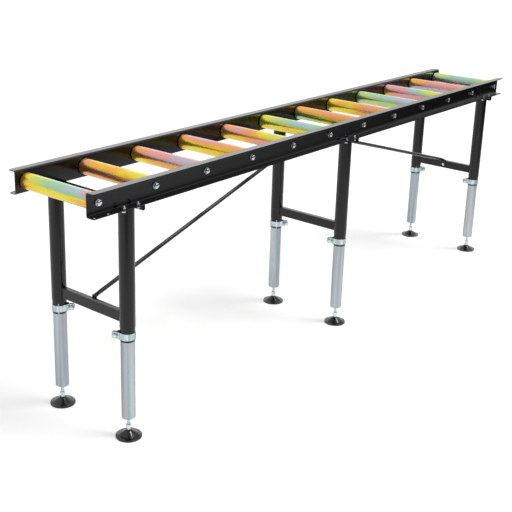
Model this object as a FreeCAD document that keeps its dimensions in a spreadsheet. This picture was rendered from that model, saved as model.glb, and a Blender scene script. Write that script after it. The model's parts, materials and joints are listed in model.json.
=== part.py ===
import FreeCAD, Part
import math
import os
import re
import Sketcher

# Roller conveyor on three pairs of telescopic legs.
# Frame: millimetres, +Z up, floor at Z = 0, X along the conveyor, front rail towards -Y.

SIZES = {
    # Rollers and the rails that carry them
    "roller_count": 12,
    "roller_pitch": 264,
    "rail_end": 48,
    "rail_gap": 355,
    "rail_height": 85,
    "flange_spare": 6.5,
    "rail_wall": 3,
    "rail_bend": 6.5,
    "flange_corner": 8,
    "rail_underside": 870,
    "axle_rise": 42,
    "roller_diameter": 60,
    "roller_wall": 2,
    "roller_end_gap": 3.5,
    "roller_edge": 1.2,
    # Bearing caps, bearings and axles inside the rollers
    "cap_inset": 1.4,
    "cap_flange": 1.5,
    "cap_lip": 4,
    "cap_shoulder": 4,
    "cap_opening": 2,
    "axle_diameter": 20,
    "bearing_diameter": 47,
    "bearing_width": 14,
    "press_clearance": 0.02,
    "running_clearance": 0.1,
    "seat_clearance": 0.3,
    # Hexagon bolts and washers that hold the axles between the rails
    "axle_bolt_diameter": 12,
    "axle_bolt_head": 19,
    "axle_bolt_head_height": 7.5,
    "axle_bolt_length": 30,
    "axle_bore_spare": 6,
    "washer_diameter": 24,
    "washer_thickness": 2.5,
    "bolt_clearance": 0.5,
    # Bolts through the lower flange and holes for joining two conveyors
    "flange_edge": 11,
    "leg_bolt_diameter": 8,
    "leg_bolt_head": 13,
    "leg_bolt_head_height": 5.3,
    "leg_nut_height": 6.5,
    "leg_bolt_tail": 5,
    "leg_bolt_gap": 4,
    "join_hole_diameter": 12,
    "join_hole_inset": 12,
    "join_hole_spacing": 60,
    # Welded leg frames: upper tubes, crossbar and top angle
    "leg_inset": 175,
    "upper_leg_end": 380,
    "upper_leg_wall": 1.5,
    "swage_step": 1.4,
    "swage_length": 42,
    "swage_taper": 12,
    "slit_width": 5,
    "slit_height": 41,
    "crossbar_rise": 65,
    "crossbar_height": 40,
    "crossbar_depth": 20,
    "crossbar_wall": 2,
    "angle_wall": 4,
    "angle_lip": 24,
    "angle_back": 13,
    "angle_front": 28,
    "angle_inset": 5,
    "angle_bend": 7,
    "angle_corner": 8,
    # Strap clamps that hold the telescopic legs
    "clamp_turn": 40,
    "clamp_rise": 8,
    "clamp_height": 25,
    "clamp_wall": 1.8,
    "clamp_gap": 8,
    "clamp_ear": 27,
    "clamp_ear_edge": 9,
    "clamp_bend": 4,
    "clamp_corner": 8,
    "clamp_bolt_diameter": 8,
    "clamp_bolt_head": 13,
    "clamp_bolt_head_height": 5.3,
    "clamp_nut_height": 6.5,
    "clamp_bolt_tail": 4,
    # Lower legs and levelling feet
    "lower_leg_diameter": 50,
    "lower_leg_wall": 2,
    "lower_leg_bottom": 78,
    "lower_leg_overlap": 180,
    "lower_leg_edge": 2,
    "leg_clearance": 0.1,
    "plug_height": 12,
    "spindle_diameter": 12,
    "spindle_reach": 76,
    "spindle_hex": 18,
    "spindle_hex_height": 13,
    "spindle_hex_base": 37,
    "spindle_collar_diameter": 16,
    "spindle_collar_height": 9,
    "neck_diameter": 11,
    "ball_diameter": 16,
    "ball_height": 14,
    "pad_diameter": 96,
    "pad_rim": 6,
    "pad_rim_step": 11,
    "pad_rim_rise": 1,
    "pad_height": 25,
    "pad_top_diameter": 22,
    "pad_mouth_diameter": 18,
    "pad_grip": 4.5,
    "pad_boss_diameter": 30,
    "pad_skin": 5,
    # Diagonal braces at mid width
    "brace_diameter": 16,
    "brace_tab": 4,
    "brace_tab_width": 22,
    "brace_flare": 30,
    "brace_bend_rise": 6,
    "brace_bolt_drop": 20,
    "brace_reach": 20,
    "brace_bend_back": 22,
    "brace_lip_drop": 10,
    "brace_tab_edge": 10,
    "brace_tab_corner": 9,
    "brace_bolt_diameter": 8,
    "brace_bolt_head": 13,
    "brace_bolt_head_height": 5.3,
    "brace_nut_height": 5.5,
    "brace_bolt_tail": 3,
}

# Places worked out from the driving sizes, as expressions
RAIL_LENGTH = "((roller_count - 1) * roller_pitch + 2 * rail_end)"
FIRST_ROLLER = "(-(roller_count - 1) * roller_pitch / 2)"
WEB_OUTSIDE = "(rail_gap / 2 + rail_wall)"
AXLE_HEIGHT = "(rail_underside + axle_rise)"
TUBE_END = "(rail_gap / 2 - roller_end_gap)"
BEARING_OUTSIDE = f"({TUBE_END} + cap_flange - cap_lip - seat_clearance)"
LEG_SPAN = f"({RAIL_LENGTH} / 2 - leg_inset)"
LEG_ROW = "(rail_gap / 2 + rail_wall / 2)"
SWAGE_RADIUS = "(lower_leg_diameter / 2 + leg_clearance + upper_leg_wall)"
LEG_RADIUS = f"({SWAGE_RADIUS} + swage_step)"
RAIL_FLANGE = f"(rail_wall / 2 + {LEG_RADIUS} + flange_spare)"
FLANGE_TIP = f"(rail_gap / 2 + {RAIL_FLANGE})"
BOLT_ROW = f"({FLANGE_TIP} - flange_edge)"
BOLT_OFFSET = f"({LEG_RADIUS} + leg_bolt_gap)"
ANGLE_UNDERSIDE = "(rail_underside - angle_wall)"
CROSSBAR_BASE = "(upper_leg_end + crossbar_rise)"
CROSSBAR_TOP = f"({CROSSBAR_BASE} + crossbar_height)"
CLAMP_BASE = "(upper_leg_end + clamp_rise)"
CLAMP_MIDDLE = f"({CLAMP_BASE} + clamp_height / 2)"
CLAMP_BORE = f"({SWAGE_RADIUS} + press_clearance)"
CLAMP_EAR_END = f"({CLAMP_BORE} + clamp_wall + clamp_ear)"
CLAMP_EAR_BEND = f"({CLAMP_EAR_END} - 2 * clamp_ear_edge)"
CLAMP_BOLT_ROW = f"({CLAMP_EAR_END} - clamp_ear_edge)"
CLAMP_FACE = "(clamp_gap / 2 + clamp_wall)"
CLAMP_TANGENT = (f"(acos({CLAMP_BORE} / hypot(clamp_gap / 2; {CLAMP_EAR_BEND}))"
                 f" + atan2(clamp_gap / 2; {CLAMP_EAR_BEND}))")
ANGLE_LIP_FACE = f"({BOLT_OFFSET} + angle_front)"
ANGLE_BACK_EDGE = f"({BOLT_OFFSET} + angle_back)"
SPINDLE_TOP = "(lower_leg_bottom + spindle_reach)"
BRACE_LOW_BEND = f"({CROSSBAR_TOP} + brace_bend_rise)"
BRACE_LOW_BOLT = f"({CROSSBAR_TOP} - brace_bolt_drop)"
BRACE_LIP_BOLT = f"({ANGLE_UNDERSIDE} - (angle_lip - angle_wall) + brace_tab_edge)"

ENDS = ("left", "middle", "right")
UPRIGHT = 1
LEVEL = 0
SIDES = {"front": -1, "rear": 1}

document = FreeCAD.newDocument("roller_conveyor")
sizes = document.addObject("Spreadsheet::Sheet", "sizes")
for row, (alias, value) in enumerate(SIZES.items(), start=1):
    sizes.set(f"A{row}", alias)
    sizes.set(f"B{row}", str(value))
    sizes.setAlias(f"B{row}", alias)
document.recompute()

ALIAS = re.compile(r"\b(" + "|".join(SIZES) + r")\b")
sub_parts = []


def bound(text):
    """An expression with each size name pointing at its cell."""
    return ALIAS.sub(r"sizes.\1", str(text))


def number(text):
    return float(sizes.evalExpression(str(text)))


def bind(thing, path, text):
    thing.setExpression(path, bound(text))


def new_body(label, x=0, y=0, z=0):
    body = document.addObject("PartDesign::Body", label)
    body.Label = label
    for axis, text in zip("xyz", (x, y, z)):
        bind(body, f"Placement.Base.{axis}", text)
    sub_parts.append(body)
    return body


def origin(body, role):
    return next(item for item in body.Origin.OriginFeatures if item.Role == role)


def sketch_on(body, role, offset=0):
    sketch = body.newObject("Sketcher::SketchObject", "Sketch")
    sketch.AttachmentSupport = [(origin(body, role), "")]
    sketch.MapMode = "FlatFace"
    bind(sketch, "AttachmentOffset.Base.z", offset)
    return sketch


def at_clamp(body, role, offset=0):
    """A sketch on the front leg's axis, turned with that leg's clamp."""
    sketch = sketch_on(body, role)
    upright = FreeCAD.Vector(0, 0, 1)
    place = {"x": "0", "y": f"-{LEG_ROW}", "z": offset}
    if role == "YZ_Plane":
        upright = FreeCAD.Vector(0, 1, 0)
        place = {"x": f"({offset}) * sin(clamp_turn) - {LEG_ROW}", "z": f"({offset}) * cos(clamp_turn)"}
    turn = FreeCAD.Rotation(upright, number("clamp_turn"))
    sketch.AttachmentOffset = FreeCAD.Placement(FreeCAD.Vector(), turn)
    bind(sketch, "AttachmentOffset.Rotation.Angle", "clamp_turn * 1 deg")
    for axis, text in place.items():
        bind(sketch, f"AttachmentOffset.Base.{axis}", text)
    return sketch


def place_point(sketch, geometry, point, x, y):
    for kind, text in (("DistanceX", x), ("DistanceY", y)):
        constraint = Sketcher.Constraint(kind, -1, 1, geometry, point, number(text))
        index = sketch.addConstraint(constraint)
        bind(sketch, f"Constraints[{index}]", text)


def outline(sketch, corners):
    """A closed outline of straight lines through corners given as expressions."""
    first = sketch.GeometryCount
    points = [FreeCAD.Vector(number(x), number(y), 0) for x, y in corners]
    count = len(points)
    for index in range(count):
        line = Part.LineSegment(points[index], points[(index + 1) % count])
        sketch.addGeometry(line, False)
    for index in range(count):
        following = first + (index + 1) % count
        sketch.addConstraint(Sketcher.Constraint("Coincident", first + index, 2, following, 1))
    for index, (x, y) in enumerate(corners):
        place_point(sketch, first + index, 1, x, y)


def rectangle(sketch, x_low, x_high, y_low, y_high):
    outline(sketch, [(x_low, y_low), (x_high, y_low), (x_high, y_high), (x_low, y_high)])


def circle(sketch, x, y, diameter):
    centre = FreeCAD.Vector(number(x), number(y), 0)
    shape = Part.Circle(centre, FreeCAD.Vector(0, 0, 1), number(diameter) / 2)
    geometry = sketch.addGeometry(shape, False)
    place_point(sketch, geometry, 3, x, y)
    constraint = Sketcher.Constraint("Diameter", geometry, number(diameter))
    bind(sketch, f"Constraints[{sketch.addConstraint(constraint)}]", diameter)


def hexagon(sketch, x, y, width):
    corners = []
    for turn in range(0, 360, 60):
        corners.append((f"{x} + {width} / sqrt(3) * cos({turn})", f"{y} + {width} / sqrt(3) * sin({turn})"))
    outline(sketch, corners)


def pad(body, sketch, length, symmetric=False, reverse=False):
    feature = body.newObject("PartDesign::Pad", "Pad")
    feature.Profile = (sketch, [""])
    feature.SideType = "Symmetric" if symmetric else "One side"
    feature.Reversed = reverse
    bind(feature, "Length", length)
    return feature


def pocket(body, sketch, length, symmetric=False, reverse=False):
    """Cut away a sketch, and make sure that the cut met the solid."""
    document.recompute()
    before = body.Shape.Volume
    feature = body.newObject("PartDesign::Pocket", "Pocket")
    feature.Profile = (sketch, [""])
    feature.SideType = "Symmetric" if symmetric else "One side"
    feature.Reversed = reverse
    bind(feature, "Length", length)
    document.recompute()
    if feature.Shape.Volume >= before:
        raise RuntimeError(f"{body.Label}: a pocket cut nothing")
    return feature


def turned(body, role, axis, corners):
    """A solid of revolution about one axis of the sketch."""
    sketch = sketch_on(body, role)
    outline(sketch, corners)
    feature = body.newObject("PartDesign::Revolution", "Revolution")
    feature.Profile = (sketch, [""])
    feature.ReferenceAxis = (sketch, [axis])
    feature.Angle = 360
    return feature


def half_turned(body):
    """Repeat the whole body half a turn round its upright axis."""
    feature = body.newObject("PartDesign::PolarPattern", "HalfTurn")
    feature.TransformMode = "Whole shape"
    feature.Axis = (origin(body, "Z_Axis"), [""])
    feature.Angle = 360
    feature.Occurrences = 2
    body.Tip = feature
    return feature


def mirrored(body, role):
    feature = body.newObject("PartDesign::Mirrored", "Mirrored")
    feature.TransformMode = "Whole shape"
    feature.MirrorPlane = (origin(body, role), [""])
    body.Tip = feature
    return feature


def row_along_x(body, count, spacing, originals=None):
    """Repeat the whole body, or some of its features, along X."""
    feature = body.newObject("PartDesign::LinearPattern", "Row")
    if originals:
        feature.Originals = originals
    else:
        feature.TransformMode = "Whole shape"
    feature.Direction = (origin(body, "X_Axis"), [""])
    feature.Mode = "Spacing"
    bind(feature, "Occurrences", count)
    bind(feature, "Offset", spacing)
    body.Tip = feature
    return feature


def rounded(body, chosen, radius):
    """Round the edges of the body's last feature that the test chooses."""
    document.recompute()
    base = body.Tip
    names = [f"Edge{i}" for i, edge in enumerate(base.Shape.Edges, start=1) if chosen(edge)]
    feature = body.newObject("PartDesign::Fillet", "Fillet")
    feature.Base = (base, names)
    bind(feature, "Radius", radius)
    return feature


def near(value, text):
    return abs(value - number(text)) < 0.001


def runs_along(edge, axis):
    if edge.Curve.TypeId != "Part::GeomLine":
        return False
    return abs(abs(getattr(edge.Curve.Direction, axis)) - 1) < 0.001


def bolt(body, role, seat, centre, diameter, head, head_height, shank, outward=True, draw=sketch_on):
    """A hexagon bolt whose head stands on a seat and whose shank goes the other way."""
    head_sketch = draw(body, role, seat)
    hexagon(head_sketch, *centre, head)
    pad(body, head_sketch, head_height, reverse=not outward)
    shank_sketch = draw(body, role, seat)
    circle(shank_sketch, *centre, diameter)
    pad(body, shank_sketch, shank, reverse=outward)


def nut(body, role, seat, centre, diameter, width, height, outward=True, draw=sketch_on):
    sketch = draw(body, role, seat)
    hexagon(sketch, *centre, width)
    circle(sketch, *centre, f"{diameter} + 2 * press_clearance")
    pad(body, sketch, height, reverse=not outward)


# Side rails: folded channels whose flanges face outwards

def rail(label, side):
    body = new_body(label, y=f"{side} * rail_gap / 2", z="rail_underside")
    section = sketch_on(body, "YZ_Plane")
    tip = f"{side} * {RAIL_FLANGE}"
    web = f"{side} * rail_wall"
    upper = "rail_height - rail_wall"
    outline(section, [
        ("0", "0"), (tip, "0"), (tip, "rail_wall"), (web, "rail_wall"),
        (web, upper), (tip, upper), (tip, "rail_height"), ("0", "rail_height"),
    ])
    pad(body, section, RAIL_LENGTH, symmetric=True)

    def flange_corner(edge):
        return runs_along(edge, "z") and near(edge.CenterOfMass.y, tip)

    def at_bend(edge, depth, heights):
        if not runs_along(edge, "x"):
            return False
        place = edge.CenterOfMass
        return near(place.y, depth) and any(near(place.z, h) for h in heights)

    rounded(body, flange_corner, "flange_corner")
    rounded(body, lambda edge: at_bend(edge, "0", ("0", "rail_height")), "rail_bend")
    rounded(body, lambda edge: at_bend(edge, web, ("rail_wall", upper)), "rail_bend - rail_wall")
    axle_hole = sketch_on(body, "XZ_Plane")
    circle(axle_hole, FIRST_ROLLER, "axle_rise", "axle_bolt_diameter + 2 * bolt_clearance")
    first_hole = pocket(body, axle_hole, f"4 * {RAIL_FLANGE}", symmetric=True)
    row_along_x(body, "roller_count", "roller_pitch", [first_hole])
    flange_holes = sketch_on(body, "XY_Plane")
    hole_row = f"{side} * ({RAIL_FLANGE} - flange_edge)"
    for place in range(-1, 2):
        for hand in (-1, 1):
            x = f"{place} * {LEG_SPAN} + {hand} * {BOLT_OFFSET}"
            circle(flange_holes, x, hole_row, "leg_bolt_diameter + 2 * bolt_clearance")
    for end in (-1, 1):
        for step in range(2):
            x = f"{end} * ({RAIL_LENGTH} / 2 - join_hole_inset - {step} * join_hole_spacing)"
            circle(flange_holes, x, hole_row, "join_hole_diameter")
    pocket(body, flange_holes, "2 * rail_wall", reverse=True)


# Rollers: a steel tube with a moulded bearing cap pressed into each end

def roller_tube(label, x):
    body = new_body(label, x=x, z=AXLE_HEIGHT)
    outside = "roller_diameter / 2"
    inside = "roller_diameter / 2 - roller_wall"
    turned(body, "YZ_Plane", "H_Axis", [
        (f"-{TUBE_END}", inside), (TUBE_END, inside), (TUBE_END, outside), (f"-{TUBE_END}", outside),
    ])

    def outer_rim(edge):
        return edge.Curve.TypeId == "Part::GeomCircle" and near(edge.Curve.Radius, outside)

    rounded(body, outer_rim, "roller_edge")


def roller_caps(label, x):
    body = new_body(label, x=x, z=AXLE_HEIGHT)
    inner_end = f"{BEARING_OUTSIDE} - bearing_width - cap_shoulder"
    plug = "roller_diameter / 2 - roller_wall - press_clearance"
    rim = "roller_diameter / 2 - cap_inset"
    bore = "bearing_diameter / 2 + running_clearance"
    opening = "axle_diameter / 2 + cap_opening"
    face = f"{TUBE_END} + cap_flange"
    turned(body, "YZ_Plane", "H_Axis", [
        (inner_end, bore), (inner_end, plug), (TUBE_END, plug), (TUBE_END, rim),
        (face, rim), (face, opening), (f"{face} - cap_lip", opening), (f"{face} - cap_lip", bore),
    ])
    mirrored(body, "XZ_Plane")


def roller_axles():
    body = new_body("roller_axles", x=FIRST_ROLLER, z=AXLE_HEIGHT)
    end = "rail_gap / 2"
    depth = f"{end} - axle_bolt_length - axle_bore_spare"
    bore = "axle_bolt_diameter / 2 + press_clearance"
    outside = "axle_diameter / 2"
    turned(body, "YZ_Plane", "H_Axis", [
        (f"-({end})", bore), (f"-({end})", outside), (end, outside), (end, bore),
        (depth, bore), (depth, "0"), (f"-({depth})", "0"), (f"-({depth})", bore),
    ])
    row_along_x(body, "roller_count", "roller_pitch")


def roller_bearings():
    body = new_body("roller_bearings", x=FIRST_ROLLER, z=AXLE_HEIGHT)
    inside = "axle_diameter / 2 + press_clearance"
    outside = "bearing_diameter / 2"
    inner_face = f"{BEARING_OUTSIDE} - bearing_width"
    turned(body, "YZ_Plane", "H_Axis", [
        (inner_face, inside), (inner_face, outside), (BEARING_OUTSIDE, outside), (BEARING_OUTSIDE, inside),
    ])
    mirrored(body, "XZ_Plane")
    row_along_x(body, "roller_count", "roller_pitch")


def axle_bolts():
    body = new_body("axle_bolts", x=FIRST_ROLLER, z=AXLE_HEIGHT)
    bolt(body, "XZ_Plane", f"{WEB_OUTSIDE} + washer_thickness", ("0", "0"), "axle_bolt_diameter",
         "axle_bolt_head", "axle_bolt_head_height", "axle_bolt_length")
    mirrored(body, "XZ_Plane")
    row_along_x(body, "roller_count", "roller_pitch")


def axle_washers():
    body = new_body("axle_washers", x=FIRST_ROLLER, z=AXLE_HEIGHT)
    ring = sketch_on(body, "XZ_Plane", WEB_OUTSIDE)
    circle(ring, "0", "0", "washer_diameter")
    circle(ring, "0", "0", "axle_bolt_diameter + 2 * bolt_clearance")
    pad(body, ring, "washer_thickness")
    mirrored(body, "XZ_Plane")
    row_along_x(body, "roller_count", "roller_pitch")


# Leg frames: two tubes swaged at the foot end, a crossbar and an angle across the top

def upper_legs():
    body = new_body("upper_legs", x=f"-{LEG_SPAN}")
    swage_top = "upper_leg_end + swage_length"
    taper_top = f"{swage_top} + swage_taper"
    section = sketch_on(body, "YZ_Plane")
    profile = [
        (f"{SWAGE_RADIUS} - upper_leg_wall", "upper_leg_end"), (SWAGE_RADIUS, "upper_leg_end"),
        (SWAGE_RADIUS, swage_top), (LEG_RADIUS, taper_top), (LEG_RADIUS, ANGLE_UNDERSIDE),
        (f"{LEG_RADIUS} - upper_leg_wall", ANGLE_UNDERSIDE), (f"{LEG_RADIUS} - upper_leg_wall", taper_top),
        (f"{SWAGE_RADIUS} - upper_leg_wall", swage_top),
    ]
    outline(section, [(f"{radius} - {LEG_ROW}", height) for radius, height in profile])
    low = FreeCAD.Vector(number(f"-{LEG_ROW}"), 0, 0)
    high = FreeCAD.Vector(number(f"-{LEG_ROW}"), number("upper_leg_end"), 0)
    axis = section.addGeometry(Part.LineSegment(low, high), True)
    place_point(section, axis, 1, f"-{LEG_ROW}", "0")
    place_point(section, axis, 2, f"-{LEG_ROW}", "upper_leg_end")
    tube = body.newObject("PartDesign::Revolution", "Revolution")
    tube.Profile = (section, [""])
    tube.ReferenceAxis = (section, ["Axis0"])
    tube.Angle = 360
    slit = at_clamp(body, "YZ_Plane")
    slit_low = "upper_leg_end - slit_width"
    rectangle(slit, "-slit_width / 2", "slit_width / 2", slit_low, "upper_leg_end + slit_height")
    pocket(body, slit, f"2 * {LEG_RADIUS}", reverse=True)
    half_turned(body)
    row_along_x(body, "3", LEG_SPAN)


def leg_crossbars():
    body = new_body("leg_crossbars", x=f"-{LEG_SPAN}")
    half = "crossbar_depth / 2"
    section = sketch_on(body, "XZ_Plane")
    rectangle(section, f"-{half}", half, CROSSBAR_BASE, CROSSBAR_TOP)
    rectangle(section, f"-{half} + crossbar_wall", f"{half} - crossbar_wall",
              f"{CROSSBAR_BASE} + crossbar_wall", f"{CROSSBAR_TOP} - crossbar_wall")
    pad(body, section, f"2 * {LEG_ROW}", symmetric=True)
    cope = sketch_on(body, "XY_Plane", CROSSBAR_BASE)
    for side in SIDES.values():
        circle(cope, "0", f"{side} * {LEG_ROW}", f"2 * ({LEG_RADIUS} + press_clearance)")
    pocket(body, cope, "2 * crossbar_height", reverse=True)
    row_along_x(body, "3", LEG_SPAN)
    hole = "brace_bolt_diameter + 2 * bolt_clearance"
    left_hole = sketch_on(body, "YZ_Plane")
    circle(left_hole, "0", BRACE_LOW_BOLT, hole)
    pocket(body, left_hole, "crossbar_depth", reverse=True)
    right_hole = sketch_on(body, "YZ_Plane", f"2 * {LEG_SPAN}")
    circle(right_hole, "0", BRACE_LOW_BOLT, hole)
    pocket(body, right_hole, "crossbar_depth")


def leg_angles():
    body = new_body("leg_angles", x=f"-{LEG_SPAN}", z="rail_underside")
    half_length = f"({FLANGE_TIP} - angle_inset)"
    section = sketch_on(body, "XZ_Plane")
    inside = f"{ANGLE_LIP_FACE} - angle_wall"
    outline(section, [
        (f"-{ANGLE_BACK_EDGE}", "-angle_wall"), (inside, "-angle_wall"), (inside, "-angle_lip"),
        (ANGLE_LIP_FACE, "-angle_lip"), (ANGLE_LIP_FACE, "0"), (f"-{ANGLE_BACK_EDGE}", "0"),
    ])
    pad(body, section, f"2 * {half_length}", symmetric=True)

    def outer_bend(edge):
        place = edge.CenterOfMass
        return runs_along(edge, "y") and near(place.x, ANGLE_LIP_FACE) and near(place.z, "0")

    def inner_bend(edge):
        place = edge.CenterOfMass
        return runs_along(edge, "y") and near(place.x, inside) and near(place.z, "-angle_wall")

    def lip_corner(edge):
        return runs_along(edge, "x") and near(edge.CenterOfMass.z, "-angle_lip")

    def plate_corner(edge):
        return runs_along(edge, "z") and near(edge.CenterOfMass.x, f"-{ANGLE_BACK_EDGE}")

    rounded(body, outer_bend, "angle_bend")
    rounded(body, inner_bend, "angle_bend - angle_wall")
    rounded(body, lip_corner, "angle_corner")
    rounded(body, plate_corner, "angle_corner")
    holes = sketch_on(body, "XY_Plane")
    for hand in (-1, 1):
        for side in SIDES.values():
            circle(holes, f"{hand} * {BOLT_OFFSET}", f"{side} * {BOLT_ROW}",
                   "leg_bolt_diameter + 2 * bolt_clearance")
    pocket(body, holes, "2 * angle_wall")
    row_along_x(body, "3", LEG_SPAN)
    hole = "brace_bolt_diameter + 2 * bolt_clearance"
    plate_hole = sketch_on(body, "XY_Plane")
    circle(plate_hole, f"{LEG_SPAN} - brace_reach", "0", hole)
    pocket(body, plate_hole, "2 * angle_wall")
    lip_hole = sketch_on(body, "YZ_Plane", f"{LEG_SPAN} + {ANGLE_LIP_FACE}")
    circle(lip_hole, "0", f"{BRACE_LIP_BOLT} - rail_underside", hole)
    pocket(body, lip_hole, "2 * angle_wall")


def leg_bolts():
    body = new_body("leg_bolts", x=f"-{LEG_SPAN}")
    shank = "rail_wall + angle_wall + leg_nut_height + leg_bolt_tail"
    bolt(body, "XY_Plane", ANGLE_UNDERSIDE, (BOLT_OFFSET, BOLT_ROW), "leg_bolt_diameter",
         "leg_bolt_head", "leg_bolt_head_height", shank, outward=False)
    mirrored(body, "YZ_Plane")
    mirrored(body, "XZ_Plane")
    row_along_x(body, "3", LEG_SPAN)


def leg_nuts():
    body = new_body("leg_nuts", x=f"-{LEG_SPAN}")
    nut(body, "XY_Plane", "rail_underside + rail_wall", (BOLT_OFFSET, BOLT_ROW), "leg_bolt_diameter",
        "leg_bolt_head", "leg_nut_height")
    mirrored(body, "YZ_Plane")
    mirrored(body, "XZ_Plane")
    row_along_x(body, "3", LEG_SPAN)


# Strap clamps round the swaged ends: a strap whose two tails run together to a pair of bolted ears

def strap_outline(sketch, tail):
    """A strap round the origin: two mirrored tails, whose first and last corners are joined by arcs."""
    tail_ends = []
    for hand in (1, -1):
        first = sketch.GeometryCount
        corners = [(f"{hand} * {x}", y) for x, y in tail]
        points = [FreeCAD.Vector(number(x), number(y), 0) for x, y in corners]
        for start, end in zip(points, points[1:]):
            sketch.addGeometry(Part.LineSegment(start, end), False)
        last = sketch.GeometryCount - 1
        for index in range(first, last):
            sketch.addConstraint(Sketcher.Constraint("Coincident", index, 2, index + 1, 1))
        for index, corner in enumerate(corners[:-1]):
            place_point(sketch, first + index, 1, *corner)
        place_point(sketch, last, 2, *corners[-1])
        tail_ends.append([(first, 1, points[0]), (last, 2, points[-1])])
    for (right, right_end, point), (left, left_end, _) in zip(*tail_ends):
        whole = Part.Circle(FreeCAD.Vector(), FreeCAD.Vector(0, 0, 1), point.Length)
        half_opening = math.atan2(point.x, point.y)
        upwards = math.pi / 2
        bend = Part.ArcOfCircle(whole, upwards + half_opening, upwards - half_opening + 2 * math.pi)
        arc = sketch.addGeometry(bend, False)
        sketch.addConstraint(Sketcher.Constraint("Coincident", arc, 1, left, left_end))
        sketch.addConstraint(Sketcher.Constraint("Coincident", arc, 2, right, right_end))
        sketch.addConstraint(Sketcher.Constraint("DistanceY", -1, 1, arc, 3, 0.0))


def clamp_collars():
    body = new_body("clamp_collars", x=f"-{LEG_SPAN}")
    half_gap = "(clamp_gap / 2)"
    outside = f"({CLAMP_BORE} + clamp_wall)"
    outer_bend = f"({CLAMP_EAR_BEND} + clamp_wall * (1 - sin({CLAMP_TANGENT})) / cos({CLAMP_TANGENT}))"
    strap = at_clamp(body, "XY_Plane", CLAMP_BASE)
    strap_outline(strap, [
        (f"({CLAMP_BORE} * sin({CLAMP_TANGENT}))", f"{CLAMP_BORE} * cos({CLAMP_TANGENT})"),
        (half_gap, CLAMP_EAR_BEND), (half_gap, CLAMP_EAR_END),
        (CLAMP_FACE, CLAMP_EAR_END), (CLAMP_FACE, outer_bend),
        (f"({outside} * sin({CLAMP_TANGENT}))", f"{outside} * cos({CLAMP_TANGENT})"),
    ])
    pad(body, strap, "clamp_height")
    axis = FreeCAD.Vector(0, -number(LEG_ROW), 0)
    turn = FreeCAD.Rotation(FreeCAD.Vector(0, 0, 1), number("clamp_turn"))
    to_clamp = FreeCAD.Placement(axis, turn).inverse()

    def at_ear(edge, side, reach):
        place = to_clamp.multVec(edge.CenterOfMass)
        return runs_along(edge, "z") and near(abs(place.x), side) and near(place.y, reach)

    def ear_corner(edge):
        level = not runs_along(edge, "z")
        return level and near(to_clamp.multVec(edge.CenterOfMass).y, CLAMP_EAR_END)

    rounded(body, lambda edge: at_ear(edge, half_gap, CLAMP_EAR_BEND), "clamp_bend")
    rounded(body, lambda edge: at_ear(edge, CLAMP_FACE, outer_bend), "clamp_bend - clamp_wall")
    rounded(body, ear_corner, "clamp_corner")
    hole = at_clamp(body, "YZ_Plane")
    circle(hole, CLAMP_BOLT_ROW, CLAMP_MIDDLE, "clamp_bolt_diameter + 2 * bolt_clearance")
    pocket(body, hole, "4 * clamp_gap", symmetric=True)
    half_turned(body)
    row_along_x(body, "3", LEG_SPAN)


def clamp_bolts():
    body = new_body("clamp_bolts", x=f"-{LEG_SPAN}")
    shank = f"2 * {CLAMP_FACE} + clamp_nut_height + clamp_bolt_tail"
    bolt(body, "YZ_Plane", f"-{CLAMP_FACE}", (CLAMP_BOLT_ROW, CLAMP_MIDDLE), "clamp_bolt_diameter",
         "clamp_bolt_head", "clamp_bolt_head_height", shank, outward=False, draw=at_clamp)
    half_turned(body)
    row_along_x(body, "3", LEG_SPAN)


def clamp_nuts():
    body = new_body("clamp_nuts", x=f"-{LEG_SPAN}")
    nut(body, "YZ_Plane", CLAMP_FACE, (CLAMP_BOLT_ROW, CLAMP_MIDDLE), "clamp_bolt_diameter",
        "clamp_bolt_head", "clamp_nut_height", draw=at_clamp)
    half_turned(body)
    row_along_x(body, "3", LEG_SPAN)


# Telescopic lower legs and their levelling feet

def lower_leg(label, x, y):
    body = new_body(label, x=x, y=y)
    outside = "lower_leg_diameter / 2"
    inside = f"{outside} - lower_leg_wall"
    bore = "spindle_diameter / 2 + running_clearance"
    top = "upper_leg_end + lower_leg_overlap"
    plug_top = "lower_leg_bottom + plug_height"
    turned(body, "XZ_Plane", "V_Axis", [
        (bore, "lower_leg_bottom"), (outside, "lower_leg_bottom"), (outside, top), (inside, top),
        (inside, plug_top), (bore, plug_top),
    ])

    def bottom_edge(edge):
        on_rim = edge.Curve.TypeId == "Part::GeomCircle" and near(edge.Curve.Radius, outside)
        return on_rim and near(edge.CenterOfMass.z, "lower_leg_bottom")

    rounded(body, bottom_edge, "lower_leg_edge")


def foot_spindle(label, x, y):
    body = new_body(label, x=x, y=y)
    ball = body.newObject("PartDesign::AdditiveSphere", "Ball")
    bind(ball, "Radius", "ball_diameter / 2")
    bind(ball, "AttachmentOffset.Base.z", "ball_height")
    ball.AttachmentSupport = [(origin(body, "XY_Plane"), "")]
    ball.MapMode = "FlatFace"
    neck = sketch_on(body, "XY_Plane", "ball_height")
    circle(neck, "0", "0", "neck_diameter")
    pad(body, neck, "spindle_hex_base - ball_height")
    collar = sketch_on(body, "XY_Plane", "spindle_hex_base - spindle_collar_height")
    circle(collar, "0", "0", "spindle_collar_diameter")
    pad(body, collar, "spindle_collar_height")
    hexagonal = sketch_on(body, "XY_Plane", "spindle_hex_base")
    hexagon(hexagonal, "0", "0", "spindle_hex")
    pad(body, hexagonal, "spindle_hex_height")
    rod = sketch_on(body, "XY_Plane", "spindle_hex_base + spindle_hex_height")
    circle(rod, "0", "0", "spindle_diameter")
    pad(body, rod, f"{SPINDLE_TOP} - spindle_hex_base - spindle_hex_height")


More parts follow.
